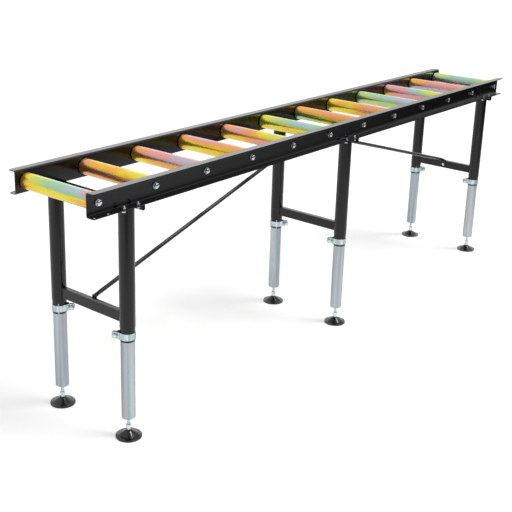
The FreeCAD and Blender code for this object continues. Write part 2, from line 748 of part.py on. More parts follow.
def foot_pad(label, x, y):
    body = new_body(label, x=x, y=y)
    rim = "pad_diameter / 2"
    cone_foot = f"({rim} - pad_rim_step)"
    cone_top = "pad_top_diameter / 2"
    boss = "pad_boss_diameter / 2"
    rim_top = "(pad_rim + pad_rim_rise)"
    hollow_edge = f"({cone_foot} - pad_skin)"
    cone_slope = f"((pad_height - {rim_top}) / ({cone_foot} - {cone_top}))"
    hollow_roof = f"({rim_top} + ({cone_foot} - {boss}) * {cone_slope})"
    turned(body, "XZ_Plane", "V_Axis", [
        ("0", "0"), (boss, "0"), (boss, f"{hollow_roof} - 2 * pad_skin"),
        (hollow_edge, f"{rim_top} - pad_skin"),
        (hollow_edge, "0"), (rim, "0"), (rim, "pad_rim"), (cone_foot, rim_top), (cone_top, "pad_height"),
        ("0", "pad_height"),
    ])
    socket = body.newObject("PartDesign::SubtractiveSphere", "Socket")
    bind(socket, "Radius", "ball_diameter / 2 + running_clearance")
    bind(socket, "AttachmentOffset.Base.z", "ball_height")
    socket.AttachmentSupport = [(origin(body, "XY_Plane"), "")]
    socket.MapMode = "FlatFace"
    mouth = body.newObject("PartDesign::SubtractiveCone", "Mouth")
    bind(mouth, "Radius1", "sqrt((ball_diameter / 2 + running_clearance)^2 - pad_grip^2)")
    bind(mouth, "Radius2", "pad_mouth_diameter / 2")
    bind(mouth, "Height", "pad_height - ball_height - pad_grip")
    bind(mouth, "AttachmentOffset.Base.z", "ball_height + pad_grip")
    mouth.AttachmentSupport = [(origin(body, "XY_Plane"), "")]
    mouth.MapMode = "FlatFace"


# Diagonal braces: tubes pressed flat at both ends and bent to the faces that they are bolted to

def brace(label, low, high, low_tab, high_tab):
    """A brace from its low bend to its high bend, each an (x, z) pair of expressions."""
    body = new_body(label, x=low[0], z=low[1])
    run = f"({high[0]} - ({low[0]}))"
    rise = f"({high[1]} - ({low[1]}))"
    slope = f"atan2({rise}; {run})"
    length = f"hypot({run}; {rise})"

    def across(distance):
        """A sketch square to the brace, at a distance along it from its low bend."""
        sketch = sketch_on(body, "XY_Plane")
        sketch.AttachmentOffset = FreeCAD.Placement(
            FreeCAD.Vector(), FreeCAD.Rotation(FreeCAD.Vector(0, 1, 0), 90 - number(slope)))
        bind(sketch, "AttachmentOffset.Rotation.Angle", f"90 deg - {slope}")
        bind(sketch, "AttachmentOffset.Base.x", f"({distance}) * cos({slope})")
        bind(sketch, "AttachmentOffset.Base.z", f"({distance}) * sin({slope})")
        return sketch

    tube = across("brace_flare")
    circle(tube, "0", "0", "brace_diameter")
    pad(body, tube, f"{length} - 2 * brace_flare")
    for flat_at, round_at in (("0", "brace_flare"), (length, f"{length} - brace_flare")):
        flat = across(flat_at)
        rectangle(flat, "-brace_tab / 2", "brace_tab / 2", "-brace_tab_width / 2", "brace_tab_width / 2")
        ring = across(round_at)
        circle(ring, "0", "0", "brace_diameter")
        flare = body.newObject("PartDesign::AdditiveLoft", "Flare")
        flare.Profile = (flat, [""])
        flare.Sections = [(ring, [""])]
    for bend, tab in ((("0", "0"), low_tab), ((run, rise), high_tab)):
        fold = sketch_on(body, "XZ_Plane")
        circle(fold, *bend, "brace_tab")
        pad(body, fold, "brace_tab_width", symmetric=True)
        strip = sketch_on(body, "XZ_Plane")
        tab_direction, tab_length = tab
        half = "brace_tab / 2"
        along = f"{tab_direction} * ({tab_length})"
        if abs(tab_direction) == UPRIGHT:
            rectangle(strip, f"{bend[0]} - {half}", f"{bend[0]} + {half}", bend[1], f"{bend[1]} + {along}")
        else:
            tab_end = f"{bend[0]} + {tab_length}"
            rectangle(strip, bend[0], tab_end, f"{bend[1]} - {half}", f"{bend[1]} + {half}")
        pad(body, strip, "brace_tab_width", symmetric=True)
    return body


def round_tab(body, axis, place, distance):
    """Round the two free corners of a brace's tab, which stand along one axis."""

    def tab_corner(edge):
        return runs_along(edge, axis) and near(getattr(edge.CenterOfMass, place), distance)

    rounded(body, tab_corner, "brace_tab_corner")


def brace_hole(body, role, seat, x, y):
    hole = sketch_on(body, role, seat)
    circle(hole, x, y, "brace_bolt_diameter + 2 * bolt_clearance")
    pocket(body, hole, "2 * brace_tab", symmetric=True)


def braces():
    low_tab = f"{BRACE_LOW_BEND} - {BRACE_LOW_BOLT} + brace_tab_edge"
    low_x = f"({LEG_SPAN} - crossbar_depth / 2 - brace_tab / 2)"
    plate_bend = ("(-brace_reach - brace_bend_back)", f"({ANGLE_UNDERSIDE} - brace_tab / 2)")
    left = brace("left_brace", (f"(-{low_x})", BRACE_LOW_BEND), plate_bend,
                 (-UPRIGHT, low_tab), (LEVEL, "brace_bend_back + brace_tab_edge"))
    round_tab(left, "x", "z", f"-({low_tab})")
    round_tab(left, "z", "x", f"{low_x} - brace_reach + brace_tab_edge")
    brace_hole(left, "YZ_Plane", "0", "0", f"{BRACE_LOW_BOLT} - {BRACE_LOW_BEND}")
    brace_hole(left, "XY_Plane", f"{plate_bend[1]} - {BRACE_LOW_BEND}", f"-brace_reach + {low_x}", "0")
    lip_bend = (f"({ANGLE_LIP_FACE} + brace_tab / 2)", f"({BRACE_LIP_BOLT} - brace_lip_drop)")
    right = brace("right_brace", (low_x, BRACE_LOW_BEND), lip_bend,
                  (-UPRIGHT, low_tab), (UPRIGHT, "brace_lip_drop + brace_tab_edge"))
    round_tab(right, "x", "z", f"-({low_tab})")
    round_tab(right, "x", "z", f"{BRACE_LIP_BOLT} + brace_tab_edge - {BRACE_LOW_BEND}")
    brace_hole(right, "YZ_Plane", "0", "0", f"{BRACE_LOW_BOLT} - {BRACE_LOW_BEND}")
    brace_hole(right, "YZ_Plane", f"{lip_bend[0]} - {low_x}", "0", f"{BRACE_LIP_BOLT} - {BRACE_LOW_BEND}")


def brace_bolts():
    body = new_body("brace_bolts")
    low_seat = f"({LEG_SPAN} - crossbar_depth / 2 - brace_tab)"
    lip_seat = f"({ANGLE_LIP_FACE} + brace_tab)"
    plate_seat = f"({ANGLE_UNDERSIDE} - brace_tab)"
    head = ("brace_bolt_diameter", "brace_bolt_head", "brace_bolt_head_height")
    blind = "brace_tab + crossbar_wall + brace_bolt_tail"
    through = "brace_tab + angle_wall + brace_nut_height + brace_bolt_tail"
    bolt(body, "YZ_Plane", f"-{low_seat}", ("0", BRACE_LOW_BOLT), *head, blind)
    bolt(body, "YZ_Plane", low_seat, ("0", BRACE_LOW_BOLT), *head, blind, outward=False)
    bolt(body, "YZ_Plane", lip_seat, ("0", BRACE_LIP_BOLT), *head, through)
    bolt(body, "XY_Plane", plate_seat, ("-brace_reach", "0"), *head, through, outward=False)


def brace_nuts():
    body = new_body("brace_nuts")
    size = ("brace_bolt_diameter", "brace_bolt_head", "brace_nut_height")
    nut(body, "YZ_Plane", f"{ANGLE_LIP_FACE} - angle_wall", ("0", BRACE_LIP_BOLT), *size, outward=False)
    nut(body, "XY_Plane", "rail_underside", ("-brace_reach", "0"), *size)


rail("front_rail", SIDES["front"])
rail("back_rail", SIDES["rear"])
for index in range(int(number("roller_count"))):
    place = f"{FIRST_ROLLER} + {index} * roller_pitch"
    roller_tube(f"roller_{index + 1:02d}_tube", place)
    roller_caps(f"roller_{index + 1:02d}_caps", place)
roller_axles()
roller_bearings()
axle_bolts()
axle_washers()
upper_legs()
leg_crossbars()
leg_angles()
leg_bolts()
leg_nuts()
clamp_collars()
clamp_bolts()
clamp_nuts()
for end_index, end in enumerate(ENDS):
    for side_name, side in SIDES.items():
        axis_place = (f"{end_index - 1} * {LEG_SPAN}", f"{side} * {LEG_ROW}")
        lower_leg(f"{end}_{side_name}_lower_leg", *axis_place)
        foot_spindle(f"{end}_{side_name}_spindle", *axis_place)
        foot_pad(f"{end}_{side_name}_foot_pad", *axis_place)
braces()
brace_bolts()
brace_nuts()
document.recompute()

for item in document.Objects:
    if "Invalid" in item.State or "Error" in item.State:
        raise RuntimeError(f"{item.Label}: {item.State}")
for body in sub_parts:
    if body.Shape.isNull() or not body.Shape.isValid() or not body.Shape.Solids:
        raise RuntimeError(f"{body.Label}: the shape is not valid")

os.makedirs("parts", exist_ok=True)
for body in sub_parts:
    body.Shape.exportStep(os.path.join("parts", f"{body.Label}.step"))
    box = body.Shape.BoundBox
    span = " x ".join(f"{size:.1f}" for size in (box.XLength, box.YLength, box.ZLength))
    print(f"{body.Label}: {len(body.Shape.Solids)} solids, {span} mm")
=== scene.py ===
# %% [markdown]
# A roller conveyor, dressed in Blender.
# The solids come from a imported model, in metres, standing on the floor at z = 0 with the long side
# along X. Everything made below is fitted to those solids, so the first step is to load them and
# to keep their box: the finished object may not grow out of it.

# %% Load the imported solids
import json
import math

import bmesh
import bpy
from mathutils import Matrix, Vector


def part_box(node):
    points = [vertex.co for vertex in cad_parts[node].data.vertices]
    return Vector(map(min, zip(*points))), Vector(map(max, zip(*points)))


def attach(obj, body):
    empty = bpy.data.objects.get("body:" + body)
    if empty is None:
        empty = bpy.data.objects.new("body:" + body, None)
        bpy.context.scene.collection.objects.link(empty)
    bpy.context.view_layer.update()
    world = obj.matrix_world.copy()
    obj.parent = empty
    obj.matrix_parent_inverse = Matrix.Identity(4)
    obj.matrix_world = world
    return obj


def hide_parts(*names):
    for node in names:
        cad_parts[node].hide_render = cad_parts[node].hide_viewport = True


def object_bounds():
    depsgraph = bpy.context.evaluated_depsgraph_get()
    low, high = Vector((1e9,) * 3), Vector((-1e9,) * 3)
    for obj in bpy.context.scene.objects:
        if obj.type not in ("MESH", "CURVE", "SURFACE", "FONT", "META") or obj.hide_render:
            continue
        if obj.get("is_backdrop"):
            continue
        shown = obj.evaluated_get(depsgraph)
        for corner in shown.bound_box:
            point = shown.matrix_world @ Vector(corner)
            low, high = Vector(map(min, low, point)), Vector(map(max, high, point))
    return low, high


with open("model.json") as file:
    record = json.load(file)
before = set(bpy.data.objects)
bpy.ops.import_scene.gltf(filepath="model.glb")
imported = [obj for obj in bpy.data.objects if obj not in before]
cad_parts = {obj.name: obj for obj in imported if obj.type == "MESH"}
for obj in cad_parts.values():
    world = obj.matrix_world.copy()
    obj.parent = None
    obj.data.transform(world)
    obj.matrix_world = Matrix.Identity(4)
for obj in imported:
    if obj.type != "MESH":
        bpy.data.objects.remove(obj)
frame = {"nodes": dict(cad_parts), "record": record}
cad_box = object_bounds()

scene = bpy.context.scene
MM = 0.001
print("nodes:", len(frame["nodes"]))
print("box:", [tuple(round(c, 4) for c in corner) for corner in cad_box])

# %% [markdown]
# The camera.
# A camera stands where the real one stood. Its place was found by matching the bolt heads, rail
# edges, legs and feet of the photograph to the solids. The picture's own centre lies a little off
# the lens axis, which the lens shift takes up.

# %% Set up the camera
PICTURE_SIDE = 512
SENSOR = 36.0
FOCAL_PIXELS = 953.4
LENS_AXIS_PIXEL = (235.7, 210.8)
CAMERA_PLACE = Vector((-3.4354, -2.3620, 1.8473))
CAMERA_YAW, CAMERA_PITCH, CAMERA_ROLL = 0.6820, -0.3155, 0.0257


def camera_turn(yaw, pitch, roll):
    """The camera's right, up and back directions as one turning matrix."""
    flat = math.cos(pitch)
    ahead = Vector((math.cos(yaw) * flat, math.sin(yaw) * flat, math.sin(pitch)))
    level = Vector((math.sin(yaw), -math.cos(yaw), 0.0))
    upright = level.cross(ahead)
    right = math.cos(roll) * level + math.sin(roll) * upright
    up = math.cos(roll) * upright - math.sin(roll) * level
    return Matrix((right, up, -ahead)).transposed()


lens = bpy.data.cameras.new("photo_camera")
lens.sensor_width = SENSOR
lens.lens = FOCAL_PIXELS / PICTURE_SIDE * SENSOR
lens.shift_x = 0.5 - LENS_AXIS_PIXEL[0] / PICTURE_SIDE
lens.shift_y = LENS_AXIS_PIXEL[1] / PICTURE_SIDE - 0.5
camera = bpy.data.objects.new("photo_camera", lens)
turn = camera_turn(CAMERA_YAW, CAMERA_PITCH, CAMERA_ROLL)
camera.matrix_world = Matrix.Translation(CAMERA_PLACE) @ turn.to_4x4()
scene.collection.objects.link(camera)
scene.camera = camera
print(f"lens {lens.lens:.1f} mm, shift {lens.shift_x:.3f} {lens.shift_y:.3f}")

# %% [markdown]
# Small helpers for every node tree.
# Colours are easiest to think of as the hex values that a screen shows, but a shader wants linear
# light, so one function turns the first into the second. Another adds one node with its settings and
# fills its inputs. An input is a plain value, a socket or a whole node, and a node stands for the
# first of its outputs that is in use.

# %% Colour and node helpers


def linear(code):
    """A hex colour as linear red, green, blue and alpha."""
    channels = [int(code[i:i + 2], 16) / 255 for i in (1, 3, 5)]
    return (*[c / 12.92 if c <= 0.04045 else ((c + 0.055) / 1.055) ** 2.4 for c in channels], 1.0)


def fill(tree, node, inputs):
    """Fill a node's inputs, by name or number, with values, sockets or nodes."""
    for key, value in inputs.items():
        if isinstance(value, bpy.types.Node):
            value = next(output for output in value.outputs if output.enabled)
        if isinstance(value, bpy.types.NodeSocket):
            tree.links.new(value, node.inputs[key])
        else:
            node.inputs[key].default_value = value
    return node


def add(tree, kind, inputs=None, **settings):
    """Add one node to a tree, with its settings and its inputs."""
    node = tree.nodes.new(kind)
    for name, value in settings.items():
        setattr(node, name, value)
    return fill(tree, node, inputs or {})


def new_material(name):
    """A new material, with its node tree and its main shader."""
    material = bpy.data.materials.new(name)
    material.use_nodes = True
    return material, material.node_tree, material.node_tree.nodes["Principled BSDF"]


print("mid grey is", [round(c, 3) for c in linear("#808080")])

# %% [markdown]
# The sky.
# Black paint and bare metal have little colour of their own: they show what stands round them, so
# the room matters as much as the paint. The sky is white, but dimmer in front, where the
# photographer stands. It lights the object at a plain level, and the camera sees it as plain white.
# Metal and clear bodies see it at full strength too.

# %% Sky
STUDIO_FRONT = Vector((-0.82402, -0.56656, 0.0)).normalized()
STUDIO_RIGHT = Vector((-STUDIO_FRONT.y, STUDIO_FRONT.x, 0.0))
WHITE = linear("#ffffff")
AMBIENT = 0.58
FRONT_LEVEL, FADE_FROM, FADE_TO = 0.5, -0.1, 0.9


def ray_kinds(tree):
    """Is the ray straight from the camera, and is it from a mirror or a clear body?"""
    path = add(tree, "ShaderNodeLightPath").outputs
    mirrored = add(tree, "ShaderNodeMath", {0: path["Is Glossy Ray"], 1: path["Is Transmission Ray"]},
                   operation="MAXIMUM")
    return path["Is Camera Ray"], mirrored


world = bpy.data.worlds.new("studio")
world.use_nodes = True
scene.world = world
room = world.node_tree
by_camera, mirrored = ray_kinds(room)
heading = add(room, "ShaderNodeTexCoord").outputs["Generated"]
frontness = add(room, "ShaderNodeVectorMath", {0: heading, 1: STUDIO_FRONT}, operation="DOT_PRODUCT")
dimmed = add(room, "ShaderNodeMapRange", {
    "Value": frontness, "From Min": FADE_FROM, "From Max": FADE_TO,
    "To Min": 1.0, "To Max": FRONT_LEVEL}, interpolation_type="SMOOTHSTEP")
colour = add(room, "ShaderNodeMix", {"Factor": by_camera, "A": dimmed, "B": WHITE}, data_type="RGBA")
direct = add(room, "ShaderNodeMath", {0: by_camera, 1: mirrored}, operation="MAXIMUM")
level = add(room, "ShaderNodeMapRange", {"Value": direct, "To Min": AMBIENT, "To Max": 1.0})
fill(room, room.nodes["Background"], {"Color": colour, "Strength": level})
scene.view_settings.view_transform = "Standard"
print("sky lights at", AMBIENT, "and at", AMBIENT * FRONT_LEVEL, "in front")

# %% [markdown]
# The lamps.
# A low, wide strip lamp stands behind, and painted flanges that are seen at a flat angle mirror it
# and turn silver grey. The key lamp hangs high on the right and draws a bright wedge on each gloss
# foot. Together with the sky they stay at a plain level: a grey of a half renders as a grey of a
# half.

# %% Lamps
KEY_LEVEL, KEY_SPREAD = 1.7, math.radians(22)
KEY_RIGHT, KEY_UP = 0.5, 0.87
STRIP_DISTANCE, STRIP_HEIGHT, STRIP_AIM = 8.0, 3.65, 0.95
STRIP_WIDE, STRIP_TALL, STRIP_WATTS = 14.0, 1.7, 68.0


def hang_lamp(name, kind, place, aim_height):
    """Hang a new lamp in the studio, aimed at a point above the middle of the floor."""
    lamp = bpy.data.objects.new(name, bpy.data.lights.new(name, kind))
    lamp.location = place
    lamp.rotation_euler = (place - Vector((0, 0, aim_height))).to_track_quat("Z", "Y").to_euler()
    scene.collection.objects.link(lamp)
    return lamp


key_place = KEY_RIGHT * STUDIO_RIGHT + Vector((0, 0, KEY_UP))
key = hang_lamp("key_lamp", "SUN", key_place, 0.0)
key.data.energy, key.data.angle = KEY_LEVEL, KEY_SPREAD
strip_place = -STRIP_DISTANCE * STUDIO_FRONT + Vector((0, 0, STRIP_HEIGHT))
strip = hang_lamp("back_strip", "AREA", strip_place, STRIP_AIM)
strip.data.shape = "RECTANGLE"
strip.data.size, strip.data.size_y = STRIP_WIDE, STRIP_TALL
strip.data.energy = STRIP_WATTS
strip.visible_camera = False
print("key lamp from", [round(c, 2) for c in key_place.normalized()])
print("strip lamp at", [round(c, 1) for c in strip_place])

# %% [markdown]
# The floor.
# It is a pale sheet that keeps the object's soft shadow. Its colour is painted light: pale on the
# left and painted dark towards the right, where the light falls off, and that makes the far half of
# the front rail deep black. A spot in the near left corner, where the photographer stands, is painted
# dark as a painted shade: the black legs mirror that spot in their middle, and a middle that is darker
# than both edges makes them look round. A glow for the camera makes up what is missing, so that the
# picture is white all over, and metal sees a glow on the pale part.

# %% Floor material with painted light that falls off to the right
FLOOR_PALE, FLOOR_DARK = 0.7, 0.03
PALE_TO, DARK_FROM = 0.8, 4.6
PAINTED_SHADE_SPOT = (-3.4, -2.4, 0.0)
CORNER_LEVEL, CORNER_DARK_TO, CORNER_PALE_FROM = 0.2, 0.7, 2.1
MIRROR_GLOW, CAMERA_WHITE = 0.36, 1.16

paper, tree, shader = new_material("floor_sheet_painted_light")
tree.nodes.remove(shader)
by_camera, mirrored = ray_kinds(tree)
place = add(tree, "ShaderNodeTexCoord").outputs["Object"]
# Painted light: the floor is pale on the left and painted darker towards the right.
rightness = add(tree, "ShaderNodeVectorMath", {0: place, 1: STUDIO_RIGHT}, operation="DOT_PRODUCT")
painted_light_falloff = add(tree, "ShaderNodeMapRange", {
    "Value": rightness, "From Min": PALE_TO, "From Max": DARK_FROM, "To Min": 1.0, "To Max": 0.0},
    interpolation_type="SMOOTHSTEP")
# Painted shade: the floor is painted darker round a spot in the near left corner.
away = add(tree, "ShaderNodeVectorMath", {0: place, 1: PAINTED_SHADE_SPOT}, operation="DISTANCE")
outside_painted_shade = add(tree, "ShaderNodeMapRange", {
    "Value": away, "From Min": CORNER_DARK_TO, "From Max": CORNER_PALE_FROM,
    "To Min": CORNER_LEVEL, "To Max": 1.0}, interpolation_type="SMOOTHSTEP")
lit = add(tree, "ShaderNodeMath", {0: painted_light_falloff, 1: outside_painted_shade}, operation="MULTIPLY")
pale = add(tree, "ShaderNodeMapRange", {"Value": lit, "To Min": FLOOR_DARK, "To Max": FLOOR_PALE})
matt = add(tree, "ShaderNodeBsdfDiffuse", {"Color": pale})
missing = add(tree, "ShaderNodeMath", {0: CAMERA_WHITE, 1: pale}, operation="SUBTRACT")
for_camera = add(tree, "ShaderNodeMath", {0: missing, 1: by_camera}, operation="MULTIPLY")
for_mirror = add(tree, "ShaderNodeMath", {0: lit, 1: mirrored}, operation="MULTIPLY")
lift = add(tree, "ShaderNodeMath", {0: for_mirror, 1: MIRROR_GLOW, 2: for_camera},
           operation="MULTIPLY_ADD")
glow = add(tree, "ShaderNodeEmission", {"Color": WHITE, "Strength": lift})
both = add(tree, "ShaderNodeAddShader", {0: matt, 1: glow})
fill(tree, tree.nodes["Material Output"], {"Surface": both})
print("floor pale up to", PALE_TO, "m and dark from", DARK_FROM, "m on the right")

# %% [markdown]
# The sheet itself. It is one flat face, so large that its far edge is lost in the white of the
# sky.

# %% Floor sheet
FLOOR_HALF = 60.0

sheet = bpy.data.meshes.new("floor_sheet")
corners = [(x * FLOOR_HALF, y * FLOOR_HALF, 0) for x, y in ((-1, -1), (1, -1), (1, 1), (-1, 1))]
sheet.from_pydata(corners, [], [(0, 1, 2, 3)])
sheet.materials.append(paper)
floor = bpy.data.objects.new("floor_sheet", sheet)
scene.collection.objects.link(floor)
floor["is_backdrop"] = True
print("floor sheet", 2 * FLOOR_HALF, "m wide")

# %% [markdown]
# Black powder coat.
# Rails, legs, crossbars and braces are steel with a baked polyester powder coat. Close up it has a
# faint orange-peel skin, and its satin gloss turns light grey where the eye meets it at a flat
# angle. Noise on object coordinates gives the peel a bump and lets the gloss drift a little, as it
# does on a sprayed part. The peel is drawn about twice as coarse as the real one, so that it shows.

# %% Powder coats
PEEL_MM, PEEL_HEIGHT_MM, PEEL_BUMP = 4, 0.2, 0.06
DRIFT_MM, COAT_DRIFT = 110, 0.03
COAT_SPECULAR = 0.42


def powder_coat(name, dark, light, roughness):
    """Satin black paint with an orange-peel skin."""
    material, tree, shader = new_material(name)
    place = add(tree, "ShaderNodeTexCoord").outputs["Object"]
    peel = add(tree, "ShaderNodeTexNoise", {
        "Vector": place, "Scale": 1 / (PEEL_MM * MM), "Detail": 2.0})
    drift = add(tree, "ShaderNodeTexNoise", {
        "Vector": place, "Scale": 1 / (DRIFT_MM * MM), "Detail": 4.0})
    tone = add(tree, "ShaderNodeMix", {"Factor": drift, "A": linear(dark), "B": linear(light)},
               data_type="RGBA")
    gloss = add(tree, "ShaderNodeMapRange", {
        "Value": drift, "To Min": roughness - COAT_DRIFT, "To Max": roughness + COAT_DRIFT})
    skin = add(tree, "ShaderNodeBump", {
        "Strength": PEEL_BUMP, "Distance": PEEL_HEIGHT_MM * MM, "Height": peel})
    fill(tree, shader, {"Base Color": tone, "Roughness": gloss, "Normal": skin,
                        "Specular IOR Level": COAT_SPECULAR})
    return material


rail_coat = powder_coat("polyester_powder_coat_rails", "#060607", "#0a0a0b", roughness=0.17)
leg_coat = powder_coat("polyester_powder_coat_legs", "#070708", "#0b0b0c", roughness=0.25)
print("powder coats:", rail_coat.name, leg_coat.name)

# %% [markdown]
# Yellow chromated zinc.
# The roller tubes are zinc plated and dipped in a chromate bath. The film left on them is about as
# thick as a wave of light is long, so it shows interference colours: yellow, gold, peach, rose,
# mauve, pale blue, sea green and lime, and then yellow again. The trick is to draw the film's
# thickness, not its colour. Each tube carries its thickness as an attribute, noise lets it drift in
# clouds and in long thin streaks, and one ramp turns thickness into colour. The plated skin itself
# is smooth, so dark things beside a tube show in it as clear bands.

# %% Chromated zinc for the roller tubes
FILM_COLOURS = {
    "yellow": (0.00, "#f3dd47"), "gold": (0.10, "#f2b847"), "peach": (0.22, "#eda571"),
    "rose": (0.36, "#e5a4a6"), "mauve": (0.48, "#cab6bf"), "pale_blue": (0.58, "#b5cad0"),
    "teal": (0.68, "#a8d0ac"), "lime": (0.82, "#cbdb78"), "straw": (0.92, "#e4df5a"),
}
CLOUD_MM, CLOUD_DRIFT = (34, 80, 34), 0.08
STREAK_MM, STREAK_DRIFT = (7, 120, 7), 0.02
NOISE_LOW, NOISE_HIGH = 0.3, 0.7
SATIN_METAL, SATIN_SMOOTH, SATIN_ROUGH = 0.74, 0.24, 0.3


def repeats(sizes_mm):
    """How often a pattern of these sizes fits into a metre, axis by axis."""
    return [1 / (size * MM) for size in sizes_mm]


def chromated_zinc(name):
    """Satin metal under a film whose thickness gives its colour."""
    material, tree, shader = new_material(name)
    place = add(tree, "ShaderNodeTexCoord").outputs["Object"]
    film = add(tree, "ShaderNodeAttribute", attribute_name="film").outputs["Fac"]
    cloud_place = add(tree, "ShaderNodeMapping", {"Vector": place, "Scale": repeats(CLOUD_MM)})
    cloud = add(tree, "ShaderNodeTexNoise", {"Vector": cloud_place, "Scale": 1.0, "Detail": 3.0})
    streak_place = add(tree, "ShaderNodeMapping", {"Vector": place, "Scale": repeats(STREAK_MM)})
    streak = add(tree, "ShaderNodeTexNoise", {"Vector": streak_place, "Scale": 1.0, "Detail": 3.0})
    for noise, drift in ((cloud, CLOUD_DRIFT), (streak, STREAK_DRIFT)):
        shift = add(tree, "ShaderNodeMapRange", {
            "Value": noise, "From Min": NOISE_LOW, "From Max": NOISE_HIGH,
            "To Min": -drift, "To Max": drift}, clamp=False)
        film = add(tree, "ShaderNodeMath", {0: film, 1: shift}, operation="ADD")
    film = add(tree, "ShaderNodeMath", {0: film}, operation="FRACT")
    ramp = add(tree, "ShaderNodeValToRGB", {"Fac": film})
    elements = ramp.color_ramp.elements
    elements[0].color = elements[1].color = linear(FILM_COLOURS["yellow"][1])
    for thickness, code in FILM_COLOURS.values():
        if thickness > 0:
            elements.new(thickness).color = linear(code)
    gloss = add(tree, "ShaderNodeMapRange", {
        "Value": cloud, "To Min": SATIN_SMOOTH, "To Max": SATIN_ROUGH})
    fill(tree, shader, {"Base Color": ramp, "Roughness": gloss, "Metallic": SATIN_METAL})
    return material


roller_zinc = chromated_zinc("yellow_chromated_zinc")
print("film colours on one round:", " ".join(FILM_COLOURS))

# %% [markdown]
# Clear zinc.
# The lower legs, clamps, bolts and spindles are zinc plated with a clear blue passivation: a pale,
# cool metal. On the drawn tubes it shows long bands of pale and darker grey, which are partly the
# plating's own streaks and partly painted shade and painted highlight down the round tube, and warm
# streaks where the bath ran off; its rim goes mauve where the eye meets it at a flat angle. One
# stretched noise gives the bands, a broader one the warm streaks and a fine one the crystal skin.

# %% Clear zinc
BAND_LOW, BAND_HIGH = 0.38, 0.62
PATCH_LOW, PATCH_HIGH = 0.45, 0.75
# Real crystals are finer than a millimetre. At that size they would only sparkle from pixel to
# pixel, so they are drawn ten times as coarse.
CRYSTAL_MM, CRYSTAL_HEIGHT_MM, CRYSTAL_BUMP = 10, 0.1, 0.02
ZINC_DRIFT = 0.06
ZINC_RIM = "#a49dac"


def banded_metal(name, dark, pale, patch, roughness, metal, band_mm, patch_mm):
    """Bare or clear-coated metal, with bands of two greys and patches of a third."""
    material, tree, shader = new_material(name)
    place = add(tree, "ShaderNodeTexCoord").outputs["Object"]
    band_place = add(tree, "ShaderNodeMapping", {"Vector": place, "Scale": repeats(band_mm)})
    band = add(tree, "ShaderNodeTexNoise", {"Vector": band_place, "Scale": 1.0, "Detail": 1.0})
    cloud_place = add(tree, "ShaderNodeMapping", {"Vector": place, "Scale": repeats(patch_mm)})
    cloud = add(tree, "ShaderNodeTexNoise", {"Vector": cloud_place, "Scale": 1.0, "Detail": 2.0})
    fine = add(tree, "ShaderNodeTexNoise", {
        "Vector": place, "Scale": 1 / (CRYSTAL_MM * MM), "Detail": 1.0})
    in_band = add(tree, "ShaderNodeMapRange", {
        "Value": band, "From Min": BAND_LOW, "From Max": BAND_HIGH})
    in_patch = add(tree, "ShaderNodeMapRange", {
        "Value": cloud, "From Min": PATCH_LOW, "From Max": PATCH_HIGH})
    tone = add(tree, "ShaderNodeMix", {"Factor": in_band, "A": linear(dark), "B": linear(pale)},
               data_type="RGBA")
    tone = add(tree, "ShaderNodeMix", {"Factor": in_patch, "A": tone, "B": linear(patch)},
               data_type="RGBA")
    gloss = add(tree, "ShaderNodeMapRange", {
        "Value": cloud, "To Min": roughness - ZINC_DRIFT, "To Max": roughness + ZINC_DRIFT})
    skin = add(tree, "ShaderNodeBump", {
        "Strength": CRYSTAL_BUMP, "Distance": CRYSTAL_HEIGHT_MM * MM, "Height": fine})
    fill(tree, shader, {"Base Color": tone, "Roughness": gloss, "Normal": skin, "Metallic": metal,
                        "Specular Tint": linear(ZINC_RIM)})
    return material


# On the tubes the long bands of the two greys are partly painted shade and painted highlight.
tube_zinc = banded_metal("clear_zinc_tube", "#a0b0ba", "#c4cfd4", "#bdb7ba", roughness=0.28,
                         metal=0.8, band_mm=(18, 18, 900), patch_mm=(40, 40, 700))
strap_zinc = banded_metal("clear_zinc_strap", "#a9bac1", "#dde8ea", "#c4d6da", roughness=0.2,
                          metal=0.9, band_mm=(8, 8, 60), patch_mm=(18, 18, 18))
bolt_zinc = banded_metal("clear_zinc_bolts", "#d0dbe0", "#eef0f1", "#d8e3e7", roughness=0.18,
                         metal=0.9, band_mm=(9, 9, 9), patch_mm=(24, 24, 24))
print("clear zinc:", tube_zinc.name, strap_zinc.name, bolt_zinc.name)

# %% [markdown]
# Ground steel, moulded caps and moulded feet.
# Axles and bearing rings are ground steel, with fine rings left by the wheel, so they take narrow
# bands along the axle. The bearing caps are nylon with the dull skin of a spark-eroded mould. Rings
# and skin are drawn coarser than the real ones, so that they show. The feet are a glossy nylon, with
# no grain but the slow waves of a moulding that has shrunk.

# %% Steel and plastics
GRAIN_HEIGHT_MM, NYLON_DRIFT = 0.2, 0.05

bearing_steel = banded_metal("ground_bearing_steel", "#8f9194", "#a6a6a6", "#9a9b9d", roughness=0.3,
                             metal=1.0, band_mm=(40, 1.5, 40), patch_mm=(12, 12, 12))


def moulded_nylon(name, dark, light, roughness, grain_mm, bump):
    """Black plastic with the grain of its mould."""
    material, tree, shader = new_material(name)
    place = add(tree, "ShaderNodeTexCoord").outputs["Object"]
    grain = add(tree, "ShaderNodeTexNoise", {
        "Vector": place, "Scale": 1 / (grain_mm * MM), "Detail": 3.0})
    tone = add(tree, "ShaderNodeMix", {"Factor": grain, "A": linear(dark), "B": linear(light)},
               data_type="RGBA")
    gloss = add(tree, "ShaderNodeMapRange", {
        "Value": grain, "To Min": roughness - NYLON_DRIFT, "To Max": roughness + NYLON_DRIFT})
    skin = add(tree, "ShaderNodeBump", {
        "Strength": bump, "Distance": GRAIN_HEIGHT_MM * MM, "Height": grain})
    fill(tree, shader, {"Base Color": tone, "Roughness": gloss, "Normal": skin})
    return material


cap_nylon = moulded_nylon("moulded_nylon_caps", "#08080a", "#101012", roughness=0.55,
                          grain_mm=2.0, bump=0.3)
foot_nylon = moulded_nylon("gloss_nylon_feet", "#070709", "#0c0c0e", roughness=0.13,
                           grain_mm=18.0, bump=0.05)
print("plastics:", cap_nylon.name, foot_nylon.name)

